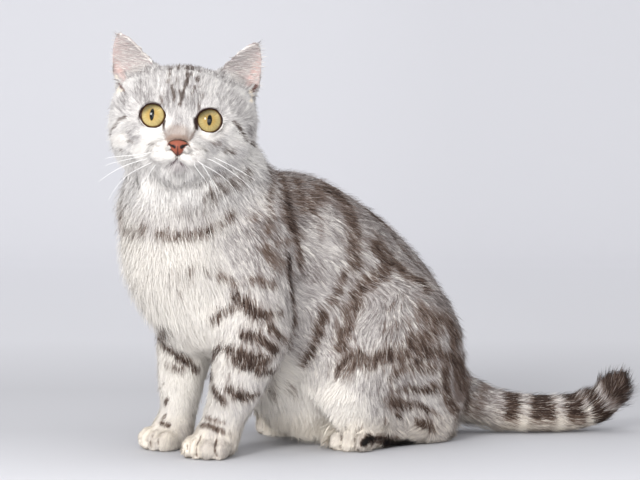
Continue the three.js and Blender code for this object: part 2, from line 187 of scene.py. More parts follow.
def vertexPlaces(mesh):
    places = np.empty(len(mesh.vertices) * 3)
    mesh.vertices.foreach_get("co", places)
    return places.reshape(-1, 3)


def vertexNormals(mesh):
    normals = np.empty(len(mesh.vertices) * 3)
    mesh.vertex_normals.foreach_get("vector", normals)
    return normals.reshape(-1, 3)


def moveVertices(mesh, places):
    mesh.vertices.foreach_set("co", places.astype(np.float32).ravel())
    mesh.update()


def triangleCorners(mesh):
    mesh.calc_loop_triangles()
    corners = np.empty(len(mesh.loop_triangles) * 3, np.int64)
    mesh.loop_triangles.foreach_get("vertices", corners)
    return corners.reshape(-1, 3)


def shadeSmooth(mesh):
    mesh.polygons.foreach_set("use_smooth", [True] * len(mesh.polygons))


def showMesh(name, mesh):
    shadeSmooth(mesh)
    return addObject(name, mesh)


def showShape(name, meshName, shape):
    mesh = bpy.data.meshes.new(meshName)
    shape.to_mesh(mesh)
    shape.free()
    return showMesh(name, mesh)


def surfaceTree(piece):
    return BVHTree.FromObject(piece, bpy.context.evaluated_depsgraph_get())


# A modifier is added with its settings, and its result replaces the mesh.
def applyModifier(piece, kind, **settings):
    modifier = piece.modifiers.new("once", kind)
    for key, value in settings.items():
        setattr(modifier, key, value)
    graph = bpy.context.evaluated_depsgraph_get()
    made = bpy.data.meshes.new_from_object(piece.evaluated_get(graph))
    piece.modifiers.clear()
    old = piece.data
    piece.data = made
    bpy.data.meshes.remove(old)


def mergedCopy(name, nodes):
    shape = bmesh.new()
    for node in nodes:
        shape.from_mesh(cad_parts[node].data)
    bmesh.ops.remove_doubles(shape, verts=shape.verts, dist=1e-6)
    return showShape(name, name, shape)


# All the flesh in one mesh, which becomes the skin.
bareParts = ("left_eye", "right_eye", "nose")
fleshNodes = [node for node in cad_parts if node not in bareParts]
skin = mergedCopy("skin", fleshNodes)
fleshTree = surfaceTree(skin)


# The place on a surface that shows at a pixel, or the nearest to its line of sight.
def onSurface(tree, px, py):
    start, way = sightLine(px, py)
    hit = tree.ray_cast(start, way)[0]
    if hit is None:
        hit = tree.find_nearest(start + way * (headCentre - start).dot(way))[0]
    return np.array(hit)


# A direction in the picture, to the right and down, as one in the room.
def seenWay(right, down):
    return np.array((cameraTurn @ Vector((right, -down, 0))).normalized())


# The lie of the coat. Each guide has a place, the direction of the hairs, their length, the coat's depth over
# the skin, a tone and a reach. Tone 0 is white, 1 silver and 2 taupe. The body's guides are of its left side.
bodyGuides = [
    ((-30, 0, 222), (-1, 0, -0.1), 9, 4, 1.2, 22),
    ((-70, 0, 222), (-1, 0, -0.25), 10, 5, 1.6, 30),
    ((-125, 0, 207), (-0.85, 0, -0.55), 11, 5, 1.7, 30),
    ((-170, 0, 170), (-0.6, 0, -0.8), 11, 5, 1.6, 30),
    ((-208, 0, 120), (-0.3, 0, -1), 11, 5.5, 1.5, 30),
    ((-232, 0, 75), (-0.4, 0, -0.9), 11, 5.5, 1.5, 25),
    ((-240, 0, 20), (-0.8, 0, -0.5), 9, 4, 0.6, 20),
    ((-25, 44, 205), (-0.45, 0.1, -0.9), 11, 5.5, 0.75, 25),
    ((30, 30, 205), (0.1, 0.3, -1), 12, 6, 0.3, 25),
    ((40, 0, 215), (0.3, 0, -1), 12, 6, 0.45, 25),
    ((53, 0, 165), (0, 0, -1), 14, 7, 0, 30),
    ((35, 38, 160), (-0.1, 0.35, -1), 13, 6.5, 0.1, 28),
    ((35, 0, 115), (-0.5, 0, -0.9), 14, 6, 0, 25),
    ((0, 0, 82), (-1, 0, -0.1), 13, 5, 0, 25),
    ((-60, 0, 60), (-1, 0, -0.2), 13, 5, 0.1, 30),
    ((-110, 0, 20), (-1, 0, 0), 10, 4, 0.1, 30),
    ((-35, 58, 165), (-0.35, 0, -1), 10, 4.5, 1.2, 25),
    ((-75, 57, 150), (-0.6, 0, -0.8), 11, 5, 1.2, 25),
    ((-30, 66, 125), (-0.1, 0, -1), 10, 4, 0.6, 22),
    ((-50, 68, 95), (-0.4, 0, -0.9), 10, 4, 0.7, 18),
    ((-22, 62, 72), (0.1, 0, -1), 8, 3, 0.4, 18),
    ((0, 38, 72), (0.05, 0, -1), 7.5, 3, 0.1, 16),
    ((-20, 12, 66), (0, 0, -1), 7.5, 3, 0, 14),
    ((-16, 45, 34), (0.15, 0, -1), 5.5, 2, 0.35, 12),
    ((2, 30, 34), (0.3, 0, -1), 5, 2, 0.2, 12),
    ((3, 31, 18), (1, 0.2, -0.35), 3.5, 1.2, 0.15, 10),
    ((18, 34, 8), (0.7, 0.2, -0.8), 2.5, 0.8, 0.08, 9),
    ((-110, 60, 150), (-0.6, 0, -0.8), 11, 5, 1, 32),
    ((-95, 58, 105), (-0.45, 0, -0.9), 11, 5, 0.9, 30),
    ((-150, 60, 150), (-0.6, 0, -0.75), 11, 5, 1.1, 28),
    ((-165, 70, 125), (-0.5, 0, -0.85), 11, 5, 1.1, 25),
    ((-160, 82, 90), (-0.35, 0, -1), 11, 5, 1, 25),
    ((-215, 65, 85), (-0.55, 0, -0.9), 11, 5, 1.4, 22),
    ((-112, 75, 70), (0.25, 0, -1), 10, 4.5, 0.45, 20),
    ((-105, 68, 38), (0.35, 0, -0.9), 9, 4, 0.2, 18),
    ((-165, 78, 40), (-0.4, 0, -0.8), 9, 4, 0.8, 20),
    ((-215, 65, 35), (-0.7, 0, -0.6), 8, 3.5, 0.9, 18),
    ((-170, 62, 14), (0.9, 0, -0.2), 5, 2, 0.5, 15),
    ((-135, 58, 20), (1, 0.1, -0.25), 4, 1.6, 0.2, 12),
    ((-112, 56, 8), (0.8, 0.1, -0.7), 2.5, 0.8, 0.08, 9),
]
tailGuides = [
    ((-238, 4, 24), (-0.5, 0.35, -0.9), 15, 6, 0.6, 10),
    ((-250, 12, 16), (-0.5, 0.4, -0.8), 17, 7.5, 0.4, 9),
    ((-262, 24, 8), (-0.6, 0.5, -0.55), 15, 6, 0.25, 9),
    ((-290, 47, 4), (-0.9, 0.5, -0.2), 11, 3, 0.15, 13),
    ((-318, 62, 4), (-0.9, 0.4, -0.1), 11, 3, 0.15, 13),
    ((-343, 72, 8), (-0.9, 0.4, 0.2), 11, 3, 0.3, 12),
    ((-238, 2, 38), (-0.8, 0.5, -0.35), 10, 4.5, 1.5, 18),
    ((-264, 26, 30), (-0.7, 0.7, -0.25), 11, 4.2, 1.3, 13),
    ((-290, 47, 30), (-0.85, 0.5, -0.15), 11, 4, 0.9, 13),
    ((-318, 62, 30), (-0.92, 0.4, -0.1), 11, 4, 0.9, 13),
    ((-343, 72, 30), (-0.7, 0.3, 0.7), 13, 4.5, 1, 13),
    ((-347, 74, 34), (0.6, -0.35, 0.75), 14, 9.5, 1.85, 9),
    ((-355, 80, 38), (0.15, -0.1, 1), 14, 9.5, 1.85, 10),
    ((-364, 88, 40), (-0.4, 0.3, 0.9), 14, 9, 1.8, 12),
]
headGuides = [
    ((47, 0, -8), (-0.5, 0, 1), 2.2, 0.7, 0.5, 6),
    ((40, 0, 6), (-0.45, 0, 1), 3, 1, 0.8, 9),
    ((30, 0, 27), (-0.8, 0, 0.7), 4.5, 2, 0.95, 13),
    ((26, 18, 26), (-0.7, 0.15, 0.7), 4.5, 2, 0.8, 11),
    ((2, 0, 44), (-1, 0, 0.1), 6.5, 3, 1.2, 16),
    ((0, 24, 40), (-1, 0.1, 0.1), 6, 2.5, 1.1, 14),
    ((-38, 0, 30), (-0.75, 0, -0.6), 8, 4, 1.1, 18),
    ((-50, 0, 0), (-0.4, 0, -1), 9, 4.5, 1.1, 20),
    ((-28, 40, 20), (-0.8, 0.1, -0.5), 8, 3.5, 0.9, 15),
    ((12, 42, 20), (-0.8, 0.3, 0.3), 5, 2, 0.5, 10),
    ((33, 21, 17), (-0.5, 0.15, 0.85), 3, 1, 0.55, 7),
    ((42, 10, -1), (-0.4, 0.35, 0.85), 2, 0.6, 0.35, 5),
    ((27, 33, 6), (-0.8, 0.5, 0.1), 3.5, 1.2, 0.7, 8),
    ((37, 22, -10), (-0.55, 0.75, -0.3), 3, 1, 0.15, 8),
    ((20, 42, -10), (-0.8, 0.5, -0.3), 7, 3, 0.3, 13),
    ((2, 50, -18), (-0.85, 0.2, -0.5), 9.5, 4.5, 0.3, 16),
    ((8, 40, -36), (-0.7, 0.3, -0.6), 9, 4.5, 0.1, 14),
    ((50, 12, -24), (-0.35, 0.9, -0.2), 2.8, 0.9, 0.2, 7),
    ((36, 26, -26), (-0.7, 0.6, -0.35), 5, 1.8, 0.1, 9),
    ((55, 5, -24), (-0.1, 0.5, -0.7), 1.8, 0.5, 0.2, 4),
    ((44, 0, -42), (-0.2, 0, -1), 9, 3, 0.05, 9),
    ((22, 18, -46), (-0.5, 0.15, -0.8), 9, 3.5, 0, 13),
    ((-18, 44, 52), (-0.1, 0.1, 1), 3, 0.4, 1.5, 9),
    ((-12, 56, 64), (0, 0.2, 1), 2.5, 0.2, 1.5, 8),
    ((-10, 36, 42), (-0.1, 0.1, 1), 4, 0.5, 0.7, 8),
    ((-20, 54, 42), (0, 0.1, 1), 3, 0.4, 1.5, 8),
    ((-24, 32, 44), (-0.4, 0.2, 0.6), 4, 1, 1.5, 8),
    ((-12, 22, 43), (0, 0.7, 0.7), 3, 0.5, 0.3, 6),
    ((-10, 30, 52), (0, 0.7, 0.7), 2.5, 0.3, 0.3, 6),
    ((-9, 39, 60), (0, 0.75, 0.65), 2.2, 0.2, 0.3, 6),
    ((-9, 48, 66), (0, 0.8, 0.5), 2.2, 0.2, 0.3, 6),
    ((-8, 61, 60), (0, -0.25, 1), 2.2, 0.2, 0.5, 6),
    ((-8, 64, 50), (0, -0.1, 1), 2.2, 0.2, 0.6, 6),
    ((-10, 62, 38), (0, 0.1, 1), 2.5, 0.3, 0.7, 6),
]


def bothSides(guides, place, turn):
    rows = []
    for where, way, *rest in guides:
        for side in (1, -1) if where[1] or way[1] else (1,):
            flip = np.array((1, side, 1))
            rows.append((*place(where * flip), *turn(way * flip), *rest))
    return rows


# Guides set where they show: pixel, direction to the right and down, length, depth, tone and reach.
seenBody = [
    (300, 180, 1, 0.35, 10, 5, 1.7, 16),
    (335, 195, 1, 0.45, 11, 5, 1.6, 16),
    (375, 222, 1, 0.6, 11, 5, 1.5, 16),
    (410, 258, 0.8, 0.8, 11, 5, 1.5, 15),
    (440, 300, 0.5, 0.9, 11, 5, 1.6, 16),
    (458, 345, 0.3, 1, 11, 5.5, 1.75, 15),
    (462, 390, 0.3, 1, 10, 5.5, 1.85, 16),
    (455, 425, 0.5, 1, 9, 4, 1, 12),
    (290, 215, 0.8, 0.5, 10, 5, 1.6, 14),
    (305, 240, 1, 0.35, 11, 5, 0.8, 15),
    (325, 245, 1, 0.3, 11, 5, 0.65, 16),
    (305, 290, 1, 0.4, 11, 5, 0.75, 16),
    (325, 290, 1, 0.35, 11, 5, 0.65, 16),
    (300, 340, 0.8, 0.6, 11, 5, 0.85, 16),
    (330, 340, 0.7, 0.7, 11, 5, 0.8, 15),
    (365, 235, 1, 0.25, 11, 5, 1.1, 13),
    (372, 312, -0.6, 0.8, 11, 5, 0.9, 16),
    (400, 292, -0.7, 0.7, 11, 5, 0.9, 15),
    (422, 308, 0.5, 0.85, 11, 5, 1.3, 13),
    (398, 328, -0.25, 1, 11, 5, 1.2, 15),
    (435, 345, 0.5, 0.85, 11, 5, 1.3, 13),
    (378, 345, -0.35, 0.95, 11, 5, 0.8, 13),
    (370, 378, -0.2, 1, 11, 4.5, 1, 13),
    (402, 380, 0.5, 0.85, 10, 4.5, 1.25, 11),
    (425, 378, 0.6, 0.8, 10, 4.5, 0.8, 10),
    (345, 385, -0.5, 1, 18, 6, 0.02, 14),
    (318, 420, -0.6, 0.9, 20, 7, 0, 13),
    (296, 424, -0.3, 1, 21, 7.5, 0, 12),
    (276, 412, -0.1, 1, 18, 6.5, 0.05, 12),
    (320, 434, -0.6, 0.8, 14, 5, 0, 8),
    (332, 437, -0.5, 0.8, 2.8, 1, 0.45, 5),
    (355, 408, -0.15, 1, 10, 4, 0.1, 12),
    (380, 400, 0.3, 0.9, 9, 4, 0.9, 11),
    (410, 405, 0.55, 0.8, 9, 4, 1, 11),
    (437, 400, 0.6, 0.8, 9, 4, 0.7, 10),
    (400, 428, 0.8, 0.5, 8, 3.5, 0.8, 9),
    (442, 425, 0.7, 0.6, 8, 3.5, 0.7, 10),
    # The throat's tones are greyer than its white fur, partly as painted shade under the chin and in the
    # neck's folds.
    (150, 215, -0.05, 1, 12, 6, 0.55, 20),
    (190, 208, 0.05, 1, 12, 6, 0.6, 18),
    (180, 260, 0, 1, 14, 7, 0, 22),
    (225, 208, 0.35, 0.9, 12, 6, 0.5, 14),
    (240, 240, 0.5, 0.85, 11, 5.5, 0.8, 15),
    (250, 265, 0.5, 0.8, 10, 5, 0.9, 15),
    (262, 225, 0.6, 0.75, 10, 5, 1.5, 13),
    (255, 195, 0.7, 0.7, 11, 5.5, 0.4, 13),
    (273, 243, 0.7, 0.7, 10, 5, 1.7, 11),
    (215, 270, 0.35, 0.9, 12, 6, 0.25, 14),
    (150, 300, 0.2, 1, 14, 6.5, 0, 22),
    (200, 310, 0.2, 1, 12, 5.5, 0.03, 15),
    (266, 290, 0.7, 0.7, 10, 4.5, 1, 11),
    (240, 325, 0.1, 1, 10, 4, 0.35, 11),
    (268, 335, 0.65, 0.75, 10, 4, 0.8, 10),
    (225, 338, -0.1, 1, 9, 4, 0.25, 12),
    (225, 375, 0, 1, 8, 3.2, 0.45, 11),
    (255, 382, 0.5, 0.85, 8, 3.2, 0.6, 11),
    (222, 408, 0.15, 1, 6.5, 2.4, 0.4, 9),
    (241, 410, 0.4, 0.9, 6, 2.4, 0.55, 9),
    (212, 436, 0.1, 1, 4.5, 1.6, 0.6, 7),
    (207, 447, -0.1, 1, 2.8, 1, 0.6, 6),
    (228, 448, 0.1, 1, 2.8, 1, 0.65, 6),
    (175, 360, 0, 1, 8, 3.2, 0.08, 11),
    (170, 390, 0, 1, 7, 3, 0.08, 11),
    (165, 425, -0.1, 1, 5, 1.8, 0.35, 8),
    (148, 440, -0.3, 0.9, 2.8, 1, 0.5, 6),
    (186, 430, 0.2, 1, 4, 1.5, 0.6, 6),
    (300, 395, 0.3, 1, 16, 6, 0.1, 14),
    (268, 400, 0.3, 1, 14, 5, 0.15, 12),
    (340, 436, -0.4, 0.9, 2.8, 1, 0.45, 6),
    (362, 440, 0, 1, 2.8, 1, 0.5, 6),
]
seenFace = [
    (176, 136, 0, -1, 2, 0.6, 0.9, 5),
    (180, 121, 0, -1, 3, 1, 1.05, 8),
    (175, 100, -0.05, -1, 4.5, 2, 1.25, 9),
    (192, 100, 0.05, -1, 4.5, 2, 1.2, 9),
    (216, 100, 0.3, -1, 4, 1.6, 1, 9),
    (150, 98, -0.3, -1, 4, 1.6, 1.15, 9),
    (240, 105, 0.7, -0.6, 5, 2, 0.9, 9),
    (122, 105, -0.7, -0.6, 5, 2, 0.95, 9),
    (135, 132, -0.9, 0.3, 4, 1.2, 1, 9),
    (122, 141, -1, 0.4, 5, 2, 0.4, 6),
    (151, 130, -0.7, 0.4, 2.5, 0.8, 0.35, 3),
    (213, 141, 0.9, 0.4, 4, 1.2, 1.25, 8),
    (208, 135, 0.7, 0.5, 2.5, 0.8, 0.3, 4),
    (228, 125, 0.9, 0.2, 3.5, 1.2, 0.5, 5),
    (240, 150, 0.9, 0.5, 7, 3, 0.8, 8),
    (249, 130, 0.8, 0.3, 6, 3, 1.2, 7),
    (115, 142, -1, 0.3, 7, 3, 0.5, 7),
    (160, 151, -0.8, 0.5, 2.8, 0.9, 0.3, 8),
    (195, 156, 0.8, 0.5, 2.8, 0.9, 0.45, 8),
    (216, 170, 0.7, 0.8, 7, 3, 0.9, 8),
    (178, 170, 0, 1, 4.5, 1.4, 0.5, 5),
    (178, 178, 0, 1, 9, 3.2, 0.5, 6),
    (164, 176, -0.2, 1, 9, 3.2, 0.6, 6),
    (192, 176, 0.25, 1, 9, 3.2, 0.55, 6),
    (178, 188, 0, 1, 10, 5.5, 0.5, 8),
    (126, 98, -0.6, -0.8, 4, 1.6, 1.15, 7),
    (138, 88, -0.4, -0.9, 4, 1.6, 1.15, 7),
    (132, 115, -0.9, -0.2, 3.5, 1.2, 0.7, 6),
    (140, 172, -0.6, 0.9, 7, 3, 0.5, 10),
]


def seenGuides():
    rows = []
    for table, onBothSides in ((seenBody, True), (seenFace, False)):
        for px, py, right, down, *rest in table:
            place = onSurface(fleshTree, px, py)
            way = seenWay(right, down)
            rows.append((*place, *way, *rest))
            if onBothSides:
                rows.append((*mirrored(place), *(way * mirror), *rest))
    return rows


guides = np.array(
    bothSides(bodyGuides, fromBody, lambda way: way)
    + [(*fromBody(where), *way, *rest) for where, way, *rest in tailGuides]
    + bothSides(headGuides, fromHead, lambda way: headMatrix @ way)
    + seenGuides()
)
guides[:, 3:6] = unit(guides[:, 3:6])


blendIs = {"near": 0.15, "power": -3.0, "batch": 40000}  # points at a time, to save memory


# What the guides say at each point: direction, length, depth and tone.
def coatAt(points):
    found = np.empty((len(points), 6))
    batch = blendIs["batch"]
    for start in range(0, len(points), batch):
        part = points[start : start + batch]
        gap = ((part[:, None, :] - guides[None, :, :3]) ** 2).sum(2)
        weight = (gap / (guides[:, 9] * mm) ** 2 + blendIs["near"]) ** blendIs["power"]
        weight /= weight.sum(1, keepdims=True)
        found[start : start + batch] = weight @ guides[:, 3:9]
    return unit(found[:, :3]), found[:, 3] * mm, found[:, 4] * mm, found[:, 5]


skinIs = {
    "voxel": 0.0012,
    "smoothTurns": 80,
    "soft": (0.3, 5.2),  # depths of coat over which smoothing sets in
    "paws": {"coat": 2.2, "high": 0.028, "soft": 0.15, "fine": (24, 32)},  # fine below these heights
    "inside": 0.9,  # how much of the coat's depth lies over the skin
    # The skin is painted a little darker than the hairs, as painted shade between them.
    "shade": 0.9,  # a little darker than the hairs
    "most": 190000,  # triangles kept
    "fineHead": (74, 84),  # distances from the head's middle over which the mesh turns coarse
}


# One vertex group, with its weights in twentieths.
def setWeights(piece, name, weights):
    group = piece.vertex_groups.new(name=name)
    steps = np.round(np.clip(weights, 0, 1) * 20).astype(int)
    for step in range(1, 21):
        group.add(np.nonzero(steps == step)[0].tolist(), step / 20, "REPLACE")


def makeSkin(piece):
    paws = skinIs["paws"]
    applyModifier(piece, "REMESH", mode="VOXEL", voxel_size=skinIs["voxel"], adaptivity=0)
    places = vertexPlaces(piece.data)
    depth = coatAt(places)[2] / mm
    onPaw = (depth < paws["coat"]) * (places[:, 2] < paws["high"])
    setWeights(piece, "soft", np.maximum(blendIn(depth, *skinIs["soft"]), paws["soft"] * onPaw))
    applyModifier(piece, "SMOOTH", factor=0.5, iterations=skinIs["smoothTurns"], vertex_group="soft")
    places = vertexPlaces(piece.data)
    depth = coatAt(places)[2]
    places -= vertexNormals(piece.data) * depth[:, None] * skinIs["inside"]
    moveVertices(piece.data, places)
    piece.vertex_groups.clear()
    coarse = np.where(depth / mm < paws["coat"], blendIn(places[:, 2] / mm, *paws["fine"]), 1)
    setWeights(piece, "plain", blendIn(fromHeadMiddle(places), *skinIs["fineHead"]) * coarse)
    count = len(piece.data.polygons) * 2
    applyModifier(piece, "DECIMATE", ratio=skinIs["most"] / count, vertex_group="plain")
    piece.vertex_groups.clear()
    shadeSmooth(piece.data)
    print("skin", len(piece.data.vertices), "vertices", len(piece.data.polygons), "faces")


makeSkin(skin)
skinTree = surfaceTree(skin)


# The markings, with painted shade in some creases and gaps. Each stroke has a half width in millimetres, a
# strength and a line of pixels that lies on the skin as seen. Those of the body also lie mirrored on the
# other side, where the camera doesn't see them.
faceStrokes = [
    (1.3, 0.75, [(170.4, 70.3), (169.3, 75)]),
    (1.2, 0.7, [(169.3, 80), (167.6, 82.4)]),
    (1, 0.85, [(171.6, 85.3), (173.3, 90.4), (174.7, 95), (174.5, 99)]),
    (1.2, 0.4, [(159.5, 96.8), (162.4, 105.4)]),
    (1.1, 0.35, [(163.6, 93.3), (161.8, 98.5)]),
    (1, 0.75, [(178.6, 71.5), (178.4, 68.8), (180.2, 65.2), (185.4, 64), (187.7, 68.6)]),
    (1, 0.6, [(185.4, 69.8), (185, 72)]),
    (1.1, 0.9, [(187.7, 68.6), (187.7, 74.4), (186.5, 81.3), (184.2, 87.6), (181.9, 96.8), (180.2, 103.6)]),
    (1, 0.3, [(176.8, 77.5), (177, 84)]),
    (0.9, 0.7, [(180.2, 89.9), (181.9, 93.5)]),
    (0.8, 0.6, [(188.2, 95.5), (188.4, 97.2)]),
    (1, 0.8, [(192.3, 68.9), (191.8, 74.6)]),
    (1.5, 0.75, [(198.4, 72.9), (197.2, 79.8)]),
    (0.9, 0.6, [(198.4, 86.2), (198.2, 87.6)]),
    (1, 0.8, [(194.4, 86.7), (191.5, 91.8)]),
    (1.2, 0.45, [(201.8, 94.7), (198.9, 108.5)]),
    (1.3, 0.8, [(234.4, 122.6), (239.2, 125.6), (241.7, 132.9), (244.7, 139.5), (252, 145.6)]),
    (1.9, 0.45, [(226, 150.8), (232.6, 152)]),
    (1.2, 0.3, [(212.6, 143.2), (220.4, 144.6)]),
    (1.4, 0.5, [(124.4, 117.1), (119.5, 120.8), (117.1, 126.2), (114.7, 130.5), (110.5, 134.7)]),
    (0.7, 0.45, [(126.8, 141.4), (132.9, 143.2)]),
    (1.2, 0.5, [(115.9, 146.8), (123.2, 148.8)]),
    (0.7, 0.24, [(148, 145), (153, 145.6)]),
    (0.7, 0.24, [(155, 145.4), (159, 146.2)]),
    (0.6, 0.21, [(148, 152.4), (153, 151.6)]),
    (0.6, 0.21, [(156, 151.4), (159, 151.6)]),
    (0.7, 0.30, [(196, 149.2), (200, 149.9)]),
    (0.7, 0.27, [(204, 151.4), (206.5, 152.2)]),
    (0.7, 0.24, [(191.6, 154.7), (194, 154.8)]),
    (0.7, 0.24, [(198, 155.2), (200.5, 155.6)]),
    (0.7, 0.24, [(194, 160), (196, 160.6)]),
    # The groove under the nose and the line of the mouth: the lips' dark colour, with painted shade in their
    # creases.
    (0.9, 0.75, [(176.5, 154), (176.5, 157.5), (176.6, 160.8)]),
    (0.7, 0.5, [(176.4, 161), (172, 162.8), (169, 164.4)]),
    (0.7, 0.5, [(176.8, 161), (180, 163), (182.6, 165.2)]),
    (0.7, 0.6, [(162.6, 118), (163.4, 124), (164, 130)]),
    (0.8, 0.45, [(195.6, 126.5), (194.4, 130.5)]),
]
